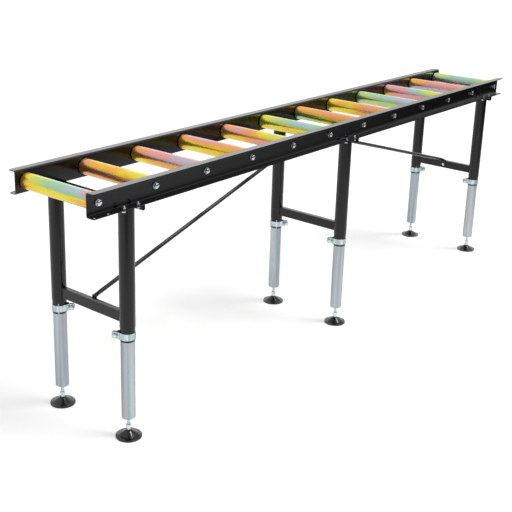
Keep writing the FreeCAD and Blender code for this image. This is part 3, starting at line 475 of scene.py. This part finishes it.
# %% [markdown]
# Folded, sawn and drawn pieces.
# The rails are folded from sheet, legs and crossbars are tube, clamps are bent strap and the braces
# are round tube pressed flat at the ends. The solids already have those shapes, so each is copied
# and only its edges are finished: a sawn or folded edge is never sharp, and under paint it is
# rounder still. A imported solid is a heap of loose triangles. Merging their corners and joining what
# lies in one plane leaves true edges, which a small live bevel can follow.

# %% Helpers for finished copies
BODIES = frame["record"]["behaviour"]["bodies"]
BODY_OF = {node: body for body, nodes in BODIES.items() for node in nodes}
EDGE_ANGLE, EDGE_SEGMENTS = math.radians(32), 2
FLAT_ANGLE = math.radians(0.5)
MERGE = 0.01 * MM


def place_piece(piece, material, nodes):
    """Give a finished mesh its material, its moving body and the solids it stands for."""
    piece.data.materials.clear()
    piece.data.materials.append(material)
    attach(piece, BODY_OF[nodes[0]])
    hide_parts(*nodes)
    return piece


def new_piece(name, mesh):
    """A mesh as an object at the origin, smooth but for its true edges."""
    mesh.shade_smooth()
    mesh.set_sharp_from_angle(angle=EDGE_ANGLE)
    piece = bpy.data.objects.new(name, mesh)
    scene.collection.objects.link(piece)
    return piece


def merged(node):
    """A node's triangles as one closed mesh for editing."""
    source = frame["nodes"][node].data
    mesh = bpy.data.meshes.new(node + "_finished")
    mesh.from_pydata([v.co for v in source.vertices], [], [p.vertices[:] for p in source.polygons])
    work = bmesh.new()
    work.from_mesh(mesh)
    bmesh.ops.remove_doubles(work, verts=work.verts, dist=MERGE)
    return mesh, work


def finished_copy(node, material, edge_mm):
    """A copy of a solid with soft edges, in place of the solid."""
    mesh, work = merged(node)
    bmesh.ops.dissolve_limit(work, angle_limit=FLAT_ANGLE, verts=work.verts, edges=work.edges)
    bmesh.ops.recalc_face_normals(work, faces=work.faces)
    work.to_mesh(mesh)
    work.free()
    piece = new_piece(node + "_finished", mesh)
    edge = piece.modifiers.new("soft_edge", "BEVEL")
    edge.width = edge_mm * MM
    edge.segments = EDGE_SEGMENTS
    edge.angle_limit = EDGE_ANGLE
    edge.harden_normals = True
    return place_piece(piece, material, [node])


# %% [markdown]
# Edges, piece by piece.
# Paint gathers on an edge and rounds it by most of a millimetre. A drawn tube or a strap is only
# deburred, a moulded cap has the small radius of its mould, and a foot has a broad one. The nodes
# are found by the ends of their names, because each leg and each roller has its own.

# %% Copies with soft edges
PAINTED_EDGE_MM, STRAP_EDGE_MM = 0.7, 0.5
FINISH_AND_EDGE_MM = {
    "_lower_leg": (tube_zinc, 0.5), "_caps": (cap_nylon, 0.4), "_foot_pad": (foot_nylon, 1.2),
}

for node in ("front_rail", "back_rail"):
    finished_copy(node, rail_coat, PAINTED_EDGE_MM)
for node in ("upper_legs", "leg_crossbars", "leg_angles", "left_brace", "right_brace"):
    finished_copy(node, leg_coat, PAINTED_EDGE_MM)
for node in sorted(frame["nodes"]):
    for ending, (material, edge_mm) in FINISH_AND_EDGE_MM.items():
        if node.endswith(ending):
            finished_copy(node, material, edge_mm)
finished_copy("clamp_collars", strap_zinc, STRAP_EDGE_MM)

# %% [markdown]
# Film colours in words.
# Twelve tubes from one batch never match, because each hung in the bath in its own place and
# drained in its own way. A line of words for each tube says how high the lower film reaches. Then
# it names the film on the upper side, from the back rail to the front rail, and, after "over", the
# film on the lower side. The words become thicknesses, always by the shorter way round the colours.

# %% Film of each tube
TUBE_FILMS = [
    "half: gold lime teal teal pale_blue rose over gold yellow yellow yellow gold",
    "half: peach gold gold yellow straw over peach peach gold",
    "low: gold rose mauve rose over yellow gold gold peach",
    "high: peach rose peach gold over gold yellow gold gold",
    "half: peach rose gold lime peach over yellow gold rose rose",
    "half: straw lime teal pale_blue lime over straw yellow yellow gold",
    "half: gold peach peach gold over teal lime yellow yellow",
    "half: gold gold peach gold over straw gold gold",
    "half: lime teal pale_blue teal over teal lime teal",
    "half: rose rose lime lime over peach rose peach",
    "half: gold peach rose peach over mauve mauve rose",
    "half: lime teal teal lime over mauve pale_blue teal",
]
# Counted from one full round of the colours, so that a step back stays above zero.
FIRST_FILM = 1.0


def shorter_way(start, end):
    """The film thickness next to a first one that shows the same colour as a second one."""
    return start + (end - start + 0.5) % 1.0 - 0.5


def film_line(words, start):
    """Film thicknesses for a line of colour words, each the shorter way from the one before."""
    stops = [start]
    for word in words.split():
        stops.append(shorter_way(stops[-1], FILM_COLOURS[word][0]))
    return stops[1:]


def film_at(stops, share):
    """Film thickness at a share of the way along a line."""
    place = share * (len(stops) - 1)
    first = min(int(place), len(stops) - 2)
    return stops[first] + (stops[first + 1] - stops[first]) * (place - first)


print("lime after gold is", round(film_line("gold lime", FIRST_FILM)[1], 2), "of a round")

# %% [markdown]
# The roller tubes.
# A tube is a copy of its solid with soft ends. It is cut into short rings, so that the thickness of
# the film can follow its words from corner to corner, and every corner keeps its own thickness.

# %% Roller tubes with their own film
TUBE_EDGE_MM = 0.6
TUBE_RINGS = 14
LOWER_FILM_TOP = {"low": 0.0, "half": 0.25, "high": 0.7}
FILM_BLEND = 0.4


def cut_into_rings(mesh, low, high):
    """Cut a tube across, between its two ends."""
    work = bmesh.new()
    work.from_mesh(mesh)
    for ring in range(1, TUBE_RINGS):
        cut = Vector((0, low.y + (high.y - low.y) * ring / TUBE_RINGS, 0))
        whole = work.verts[:] + work.edges[:] + work.faces[:]
        bmesh.ops.bisect_plane(work, geom=whole, plane_co=cut, plane_no=(0, 1, 0))
    work.to_mesh(mesh)
    work.free()


def within(share):
    """A share kept between none and all."""
    return min(max(share, 0.0), 1.0)


for number, line in enumerate(TUBE_FILMS, 1):
    node = f"roller_{number:02d}_tube"
    tube = finished_copy(node, roller_zinc, TUBE_EDGE_MM)
    low, high = [Vector(corner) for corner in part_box(node)]
    middle, radius = (low + high) / 2, (high.z - low.z) / 2
    cut_into_rings(tube.data, low, high)
    reach_word, words = line.split(": ")
    upper_words, lower_words = words.split(" over ")
    upper = film_line(upper_words, FIRST_FILM)
    lower = film_line(lower_words, upper[0])
    values = []
    for vert in tube.data.vertices:
        share = within((high.y - vert.co.y) / (high.y - low.y))
        rise = (vert.co.z - middle.z) / radius - LOWER_FILM_TOP[reach_word]
        rise = within(rise / FILM_BLEND + 0.5)
        values.append(film_at(upper, share) * rise + film_at(lower, share) * (1.0 - rise))
    tube.data.attributes.new("film", "FLOAT", "POINT").data.foreach_set("value", values)
print("tubes:", len(TUBE_FILMS), "with", len(tube.data.polygons), "faces each")

# %% [markdown]
# A hexagon.
# A bolt head is forged as a hexagon and then turned, and the turning leaves a flat cone at its top
# that cuts each corner in an arc. The same happens here: a six-sided prism is kept only where it
# lies inside two cones. It is a small group of geometry nodes, because heads, nuts and spindles all
# need one. The cone is taller than the head, and its top lies flush with the head's top.

# %% Group for a hexagon
CHAMFER_SLOPE = 1 / math.tan(math.radians(30))
RIM_SHARE, RIM_SIDES = 0.475, 48
CONE_HEIGHTS = 2.0


def new_group(name, **sockets):
    """An empty geometry group with named inputs and one geometry output."""
    group = bpy.data.node_groups.new(name, "GeometryNodeTree")
    for label, kind in sockets.items():
        group.interface.new_socket(label.replace("_", " "), in_out="INPUT",
                                   socket_type="NodeSocket" + kind)
    group.interface.new_socket("Geometry", in_out="OUTPUT", socket_type="NodeSocketGeometry")
    return group, add(group, "NodeGroupInput").outputs, add(group, "NodeGroupOutput")


def moved_up(tree, geometry, height):
    """Geometry moved along its own axis."""
    step = add(tree, "ShaderNodeCombineXYZ", {"Z": height})
    return add(tree, "GeometryNodeTransform", {"Geometry": geometry, "Translation": step})


hexagon, given, result = new_group("chamfered_hexagon", Across_flats="Float", Height="Float")
flats, height = given["Across flats"], given["Height"]
corner = add(hexagon, "ShaderNodeMath", {0: flats, 1: 1 / math.sqrt(3)}, operation="MULTIPLY")
rim = add(hexagon, "ShaderNodeMath", {0: flats, 1: RIM_SHARE}, operation="MULTIPLY")
tall = add(hexagon, "ShaderNodeMath", {0: height, 1: CONE_HEIGHTS}, operation="MULTIPLY")
wide = add(hexagon, "ShaderNodeMath", {0: tall, 1: CHAMFER_SLOPE, 2: rim}, operation="MULTIPLY_ADD")
sink = add(hexagon, "ShaderNodeMath", {0: height, 1: 0.5 - CONE_HEIGHTS}, operation="MULTIPLY")
prism = add(hexagon, "GeometryNodeMeshCylinder", {"Vertices": 6, "Radius": corner, "Depth": height})
cone = add(hexagon, "GeometryNodeMeshCone", {
    "Vertices": RIM_SIDES, "Radius Top": rim, "Radius Bottom": wide, "Depth": tall})
upper = moved_up(hexagon, cone, sink)
lower = add(hexagon, "GeometryNodeTransform", {"Geometry": upper, "Rotation": (math.pi, 0, 0)})
common = add(hexagon, "GeometryNodeMeshBoolean", operation="INTERSECT", solver="EXACT")
for shape in (prism, upper, lower):
    fill(hexagon, common, {"Mesh 2": shape})
fill(hexagon, result, {"Geometry": common})
print("group:", hexagon.name)

# %% [markdown]
# A screw thread.
# A thread is rolled: a ridge winds round a thinner core. A spiral curve carries a three-sided
# profile for the ridge, and a cylinder fills the core. All depths are shares of the pitch, which is
# the step from one turn to the next, so one group serves every size of bolt.

# %% Group for a thread
CORE_DEPTH, RIDGE_DEPTH, RIDGE_SIZE = 0.6, 0.45, 0.48
ROD_SIDES, STEPS_PER_TURN, RIDGE_SIDES = 24, 20, 3

thread, given, result = new_group("screw_thread", Radius="Float", Length="Float", Pitch="Float")
radius, length, pitch = given["Radius"], given["Length"], given["Pitch"]
turns = add(thread, "ShaderNodeMath", {0: length, 1: pitch}, operation="DIVIDE")
core_radius = add(thread, "ShaderNodeMath", {0: pitch, 1: -CORE_DEPTH, 2: radius},
                  operation="MULTIPLY_ADD")
ridge_radius = add(thread, "ShaderNodeMath", {0: pitch, 1: -RIDGE_DEPTH, 2: radius},
                   operation="MULTIPLY_ADD")
ridge_size = add(thread, "ShaderNodeMath", {0: pitch, 1: RIDGE_SIZE}, operation="MULTIPLY")
half = add(thread, "ShaderNodeMath", {0: length, 1: 0.5}, operation="MULTIPLY")
core = add(thread, "GeometryNodeMeshCylinder", {
    "Vertices": ROD_SIDES, "Radius": core_radius, "Depth": length})
winding = add(thread, "GeometryNodeCurveSpiral", {
    "Resolution": STEPS_PER_TURN, "Rotations": turns, "Start Radius": ridge_radius,
    "End Radius": ridge_radius, "Height": length})
upright = add(thread, "GeometryNodeSetCurveNormal", {"Curve": winding}, mode="Z_UP")
vee = add(thread, "GeometryNodeCurvePrimitiveCircle", {"Resolution": RIDGE_SIDES, "Radius": ridge_size})
ridge = add(thread, "GeometryNodeCurveToMesh", {
    "Curve": upright, "Profile Curve": vee, "Fill Caps": True})
joined = add(thread, "GeometryNodeJoinGeometry")
for shape in (ridge, moved_up(thread, core, half)):
    fill(thread, joined, {"Geometry": shape})
fill(thread, result, {"Geometry": joined})
print("group:", thread.name)

# %% [markdown]
# One bolt.
# A bolt is a hexagon head, a washer or the thin washer face of its head, a plain shank and a
# thread, all on one axis. Its seat, under the head, lies at the origin, so that one point is enough
# to set it. A nut is a hexagon about its own middle.

# %% Group for bolts and nuts: the shapes
WASHER_SIDES = 40

fasteners, given, result = new_group(
    "hexagon_fasteners", Points="Geometry", Across_flats="Float", Head_height="Float",
    Nut_height="Float", Washer_radius="Float", Washer_height="Float", Shank_radius="Float",
    Shank_length="Float", Thread_length="Float", Thread_pitch="Float", Roll_seed="Int",
    Finish="Material")
head = add(fasteners, "GeometryNodeGroup", node_tree=hexagon)
nut = add(fasteners, "GeometryNodeGroup", node_tree=hexagon)
tail = add(fasteners, "GeometryNodeGroup", node_tree=thread)
for shape, height in ((head, given["Head height"]), (nut, given["Nut height"])):
    fill(fasteners, shape, {"Across flats": given["Across flats"], "Height": height})
fill(fasteners, tail, {"Radius": given["Shank radius"], "Length": given["Thread length"],
                       "Pitch": given["Thread pitch"]})
plain = add(fasteners, "ShaderNodeMath", {0: given["Shank length"], 1: given["Thread length"]},
            operation="SUBTRACT")
rod = add(fasteners, "GeometryNodeMeshCylinder", {
    "Vertices": ROD_SIDES, "Radius": given["Shank radius"], "Depth": plain})
washer = add(fasteners, "GeometryNodeMeshCylinder", {
    "Vertices": WASHER_SIDES, "Radius": given["Washer radius"], "Depth": given["Washer height"]})
bolt = add(fasteners, "GeometryNodeJoinGeometry")
for shape, size, share in ((head, given["Head height"], 0.5), (rod, plain, -0.5),
                           (washer, given["Washer height"], -0.5), (tail, given["Shank length"], -1.0)):
    height = add(fasteners, "ShaderNodeMath", {0: size, 1: share}, operation="MULTIPLY")
    fill(fasteners, bolt, {"Geometry": moved_up(fasteners, shape, height)})
print("inputs:", [item.name for item in fasteners.interface.items_tree if item.in_out == "INPUT"])

# %% [markdown]
# Bolts on points.
# The group copies its bolt or its nut to every point it is given. It reads two attributes of each
# point: the way its head faces, and whether it is a nut. Each copy gets a random turn from a fixed
# seed, since no two bolts stop at the same angle. A hexagon looks the same after a sixth of a turn,
# so the turn never needs to be larger.

# %% Group for bolts and nuts: the copies
HEXAGON_TURN = math.radians(60)


def close_group(tree, copies, finish, result):
    """Make a group's copies real, give them their finish and hand them out."""
    real = add(tree, "GeometryNodeRealizeInstances", {"Geometry": copies})
    painted = add(tree, "GeometryNodeSetMaterial", {"Geometry": real, "Material": finish})
    fill(tree, result, {"Geometry": painted})


facing = add(fasteners, "GeometryNodeInputNamedAttribute", {"Name": "facing"}, data_type="FLOAT_VECTOR")
is_nut = add(fasteners, "GeometryNodeInputNamedAttribute", {"Name": "is_nut"}, data_type="BOOLEAN")
is_bolt = add(fasteners, "FunctionNodeBooleanMath", {0: is_nut}, operation="NOT")
chance = add(fasteners, "FunctionNodeRandomValue", {
    "Min": 0.0, "Max": HEXAGON_TURN, "Seed": given["Roll seed"]}, data_type="FLOAT")
roll = add(fasteners, "FunctionNodeAxisAngleToRotation", {"Axis": (0, 0, 1), "Angle": chance})
aimed = add(fasteners, "FunctionNodeAlignRotationToVector", {"Vector": facing}, axis="Z")
turn = add(fasteners, "FunctionNodeRotateRotation", {"Rotation": aimed, "Rotate By": roll},
           rotation_space="LOCAL")
every = add(fasteners, "GeometryNodeJoinGeometry")
for chosen, shape in ((is_bolt, bolt), (is_nut, nut)):
    copies = add(fasteners, "GeometryNodeInstanceOnPoints", {
        "Points": given["Points"], "Selection": chosen, "Instance": shape, "Rotation": turn})
    fill(fasteners, every, {"Geometry": copies})
close_group(fasteners, every, given["Finish"], result)
print("group:", fasteners.name, "with", len(fasteners.nodes), "nodes")

# %% [markdown]
# Where the bolts are.
# The solids know best. Each node of bolts is split into its separate pieces, and the reach of a
# piece along its own axis gives its middle and its length.

# %% Find the separate solids of a node


def islands(node):
    """The corner points of each separate solid of a node, in order along X."""
    mesh, work = merged(node)
    solids, left = [], set(work.verts)
    while left:
        ahead, found = [left.pop()], []
        while ahead:
            vert = ahead.pop()
            found.append(vert.co.copy())
            near = {edge.other_vert(vert) for edge in vert.link_edges} & left
            left -= near
            ahead.extend(near)
        solids.append(found)
    work.free()
    bpy.data.meshes.remove(mesh)
    return sorted(solids, key=lambda points: [min(c) for c in zip(*points)])


def reach(points, way):
    """How far a solid reaches along a direction, from its low to its high end."""
    along = [point.dot(way) for point in points]
    return min(along), max(along)


def axis_middle(points, way):
    """The middle of a solid, measured along and square to a direction."""
    side = way.orthogonal().normalized()
    return sum((sum(reach(points, d)) / 2 * d for d in (way, side, way.cross(side))), Vector())


print("axle bolts found:", len(islands("axle_bolts")))

# %% [markdown]
# From points to a piece.
# A mesh of bare points carries the group as a modifier, and what it grows is kept as a plain mesh,
# because a finished piece has no need of its recipe. A bolt's point lies on its seat, one head
# height below its top, and a nut takes the direction of the bolt nearest to it.

# %% Grow bolts and nuts on points


def grown(name, group, points, attributes, inputs):
    """Run a geometry group on a set of points and keep the result as a plain mesh."""
    seeds = bpy.data.meshes.new(name + "_points")
    seeds.from_pydata(points, [], [])
    for label, (kind, field, values) in attributes.items():
        seeds.attributes.new(label, kind, "POINT").data.foreach_set(field, values)
    carrier = bpy.data.objects.new(name + "_points", seeds)
    scene.collection.objects.link(carrier)
    growth = carrier.modifiers.new(name, "NODES")
    growth.node_group = group
    for item in group.interface.items_tree:
        if item.in_out == "INPUT" and item.name in inputs:
            growth[item.identifier] = inputs[item.name]
    carrier.update_tag()
    shown = carrier.evaluated_get(bpy.context.evaluated_depsgraph_get())
    mesh = bpy.data.meshes.new_from_object(shown)
    mesh.name = name
    bpy.data.objects.remove(carrier)
    return new_piece(name, mesh)


def set_bolts(name, bolt_node, facings, nodes, seed, **sizes_mm):
    """Bolts on their seats and nuts in their places, as one piece."""
    points, directions = [], []
    for solid, way in zip(islands(bolt_node), facings):
        middle = axis_middle(solid, way)
        seat = reach(solid, way)[1] - sizes_mm["Head_height"] * MM
        points.append(middle + way * (seat - middle.dot(way)))
        directions.append(way)
    bolts = len(points)
    nut_nodes = [node for node in nodes if node.endswith("_nuts")]
    for solid in [solid for node in nut_nodes for solid in islands(node)]:
        rough = sum(solid, Vector()) / len(solid)
        nearest = min(range(bolts), key=lambda i: (points[i] - rough).length)
        points.append(axis_middle(solid, directions[nearest]))
        directions.append(directions[nearest])
    inputs = {label.replace("_", " "): value * MM for label, value in sizes_mm.items()}
    inputs.update({"Roll seed": seed, "Finish": bolt_zinc})
    piece = grown(name, fasteners, points, {
        "facing": ("FLOAT_VECTOR", "vector", [c for way in directions for c in way]),
        "is_nut": ("BOOLEAN", "value", [i >= bolts for i in range(len(points))])}, inputs)
    print(name, bolts, "bolts", len(points) - bolts, "nuts", len(piece.data.polygons), "faces")
    return place_piece(piece, bolt_zinc, nodes)


print("bolts and nuts take", bolt_zinc.name)

# %% [markdown]
# Which way the heads face.
# That is known from how each bolt is fitted: axle bolts go in from outside the rails, leg bolts
# come up from below the top angles, clamp bolts lie square to the ears of their clamps, and the
# brace bolts face the side a spanner comes from. The axle bolts are M12 and all others M8.

# %% Set the bolts and nuts
ALONG, ACROSS, UP = Vector((1, 0, 0)), Vector((0, 1, 0)), Vector((0, 0, 1))
CLAMP_TURN = math.radians(40)
EARS = Vector((math.cos(CLAMP_TURN), math.sin(CLAMP_TURN), 0))
M12 = dict(Across_flats=19, Head_height=7.5, Nut_height=10, Washer_radius=12, Washer_height=2.5,
           Shank_radius=6, Thread_pitch=1.75)
M8 = dict(Across_flats=13, Head_height=5.3, Washer_radius=6.2, Washer_height=0.4, Shank_radius=4,
          Thread_pitch=1.25)

outward = [ACROSS if solid[0].y > 0 else -ACROSS for solid in islands("axle_bolts")]
downward = [-UP for solid in islands("leg_bolts")]
off_ear = [EARS if solid[0].y > 0 else -EARS for solid in islands("clamp_bolts")]
to_spanner = [ALONG, -UP, ALONG, -ALONG]
set_bolts("axle_bolt_set", "axle_bolts", outward, ["axle_bolts", "axle_washers"], seed=3,
          **M12, Shank_length=30, Thread_length=24)
set_bolts("leg_bolt_set", "leg_bolts", downward, ["leg_bolts", "leg_nuts"], seed=5,
          **M8, Nut_height=6.5, Shank_length=18.5, Thread_length=14)
set_bolts("clamp_bolt_set", "clamp_bolts", off_ear, ["clamp_bolts", "clamp_nuts"], seed=7,
          **M8, Nut_height=6.5, Shank_length=22.1, Thread_length=14)
set_bolts("brace_bolt_set", "brace_bolts", to_spanner, ["brace_bolts", "brace_nuts"], seed=11,
          **M8, Nut_height=5.5, Shank_length=16, Thread_length=12)

# %% [markdown]
# Levelling spindles.
# Each foot stands on a rolled M12 spindle: a long thread that screws up into the closed end of the
# lower leg, a hexagon to turn it by, a round collar under that, a thinner neck and a ball that
# snaps into the pad. The group stacks these along one axis, with the ball's middle at the point it
# grows from, since the pad swivels about that.

# %% Group for a spindle
BALL_SEGMENTS, BALL_RINGS, COLLAR_SIDES = 32, 16, 32

spindle, given, result = new_group(
    "levelling_spindle", Points="Geometry", Ball_radius="Float", Neck_radius="Float",
    Collar_radius="Float", Collar_base="Float", Hexagon_base="Float", Across_flats="Float",
    Hexagon_height="Float", Thread_radius="Float", Thread_length="Float", Thread_pitch="Float",
    Finish="Material")
base, height, collar_base = given["Hexagon base"], given["Hexagon height"], given["Collar base"]
nut = add(spindle, "GeometryNodeGroup", node_tree=hexagon)
fill(spindle, nut, {"Across flats": given["Across flats"], "Height": height})
rod = add(spindle, "GeometryNodeGroup", node_tree=thread)
fill(spindle, rod, {"Radius": given["Thread radius"], "Length": given["Thread length"],
                    "Pitch": given["Thread pitch"]})
ball = add(spindle, "GeometryNodeMeshUVSphere", {
    "Segments": BALL_SEGMENTS, "Rings": BALL_RINGS, "Radius": given["Ball radius"]})
neck = add(spindle, "GeometryNodeMeshCylinder", {
    "Vertices": ROD_SIDES, "Radius": given["Neck radius"], "Depth": base})
collar_height = add(spindle, "ShaderNodeMath", {0: base, 1: collar_base}, operation="SUBTRACT")
collar = add(spindle, "GeometryNodeMeshCylinder", {
    "Vertices": COLLAR_SIDES, "Radius": given["Collar radius"], "Depth": collar_height})
neck_middle = add(spindle, "ShaderNodeMath", {0: base, 1: 0.5}, operation="MULTIPLY")
collar_sum = add(spindle, "ShaderNodeMath", {0: base, 1: collar_base}, operation="ADD")
collar_middle = add(spindle, "ShaderNodeMath", {0: collar_sum, 1: 0.5}, operation="MULTIPLY")
nut_middle = add(spindle, "ShaderNodeMath", {0: height, 1: 0.5, 2: base}, operation="MULTIPLY_ADD")
rod_base = add(spindle, "ShaderNodeMath", {0: height, 1: base}, operation="ADD")
stack = add(spindle, "GeometryNodeJoinGeometry")
fill(spindle, stack, {"Geometry": ball})
for shape, step in ((neck, neck_middle), (collar, collar_middle), (nut, nut_middle), (rod, rod_base)):
    fill(spindle, stack, {"Geometry": moved_up(spindle, shape, step)})
copies = add(spindle, "GeometryNodeInstanceOnPoints", {"Points": given["Points"], "Instance": stack})
close_group(spindle, copies, given["Finish"], result)
print("group:", spindle.name, "with", len(spindle.nodes), "nodes")

# %% [markdown]
# Six spindles.
# Every spindle moves with its own body, so each one is grown alone, from the middle of its solid's
# ball.

# %% Spindles with a wound thread
SPINDLE_MM = {
    "Ball radius": 8, "Neck radius": 5.5, "Collar radius": 8, "Collar base": 14, "Hexagon base": 23,
    "Across flats": 18, "Hexagon height": 13, "Thread radius": 6, "Thread length": 104,
    "Thread pitch": 1.75,
}

for node in sorted(frame["nodes"]):
    if node.endswith("_spindle"):
        low, high = [Vector(corner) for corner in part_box(node)]
        ball_height = low.z + SPINDLE_MM["Ball radius"] * MM
        point = Vector(((low.x + high.x) / 2, (low.y + high.y) / 2, ball_height))
        inputs = {label: value * MM for label, value in SPINDLE_MM.items()}
        piece = grown(node + "_turned", spindle, [point], {}, {**inputs, "Finish": bolt_zinc})
        place_piece(piece, bolt_zinc, [node])
        top = max(v.co.z for v in piece.data.vertices)
        print(piece.name, len(piece.data.polygons), "faces, top", round(top, 4))

# %% [markdown]
# Axles and bearings.
# They sit inside the rollers and are seen only through the gap at a roller's end, so the solids
# stay as they are and just get their steel.

# %% Steel on the hidden solids
for node in ("roller_axles", "roller_bearings"):
    frame["nodes"][node].data.materials.clear()
    frame["nodes"][node].data.materials.append(bearing_steel)
print("left as solids: axles and bearings")

# %% [markdown]
# The last step.

# %% Compare the boxes and finish
new_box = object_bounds()
growth_mm = [round((a - b) / MM, 2) for a, b in zip(new_box[1], cad_box[1])]
print("grown by", growth_mm, "mm at the high corner")
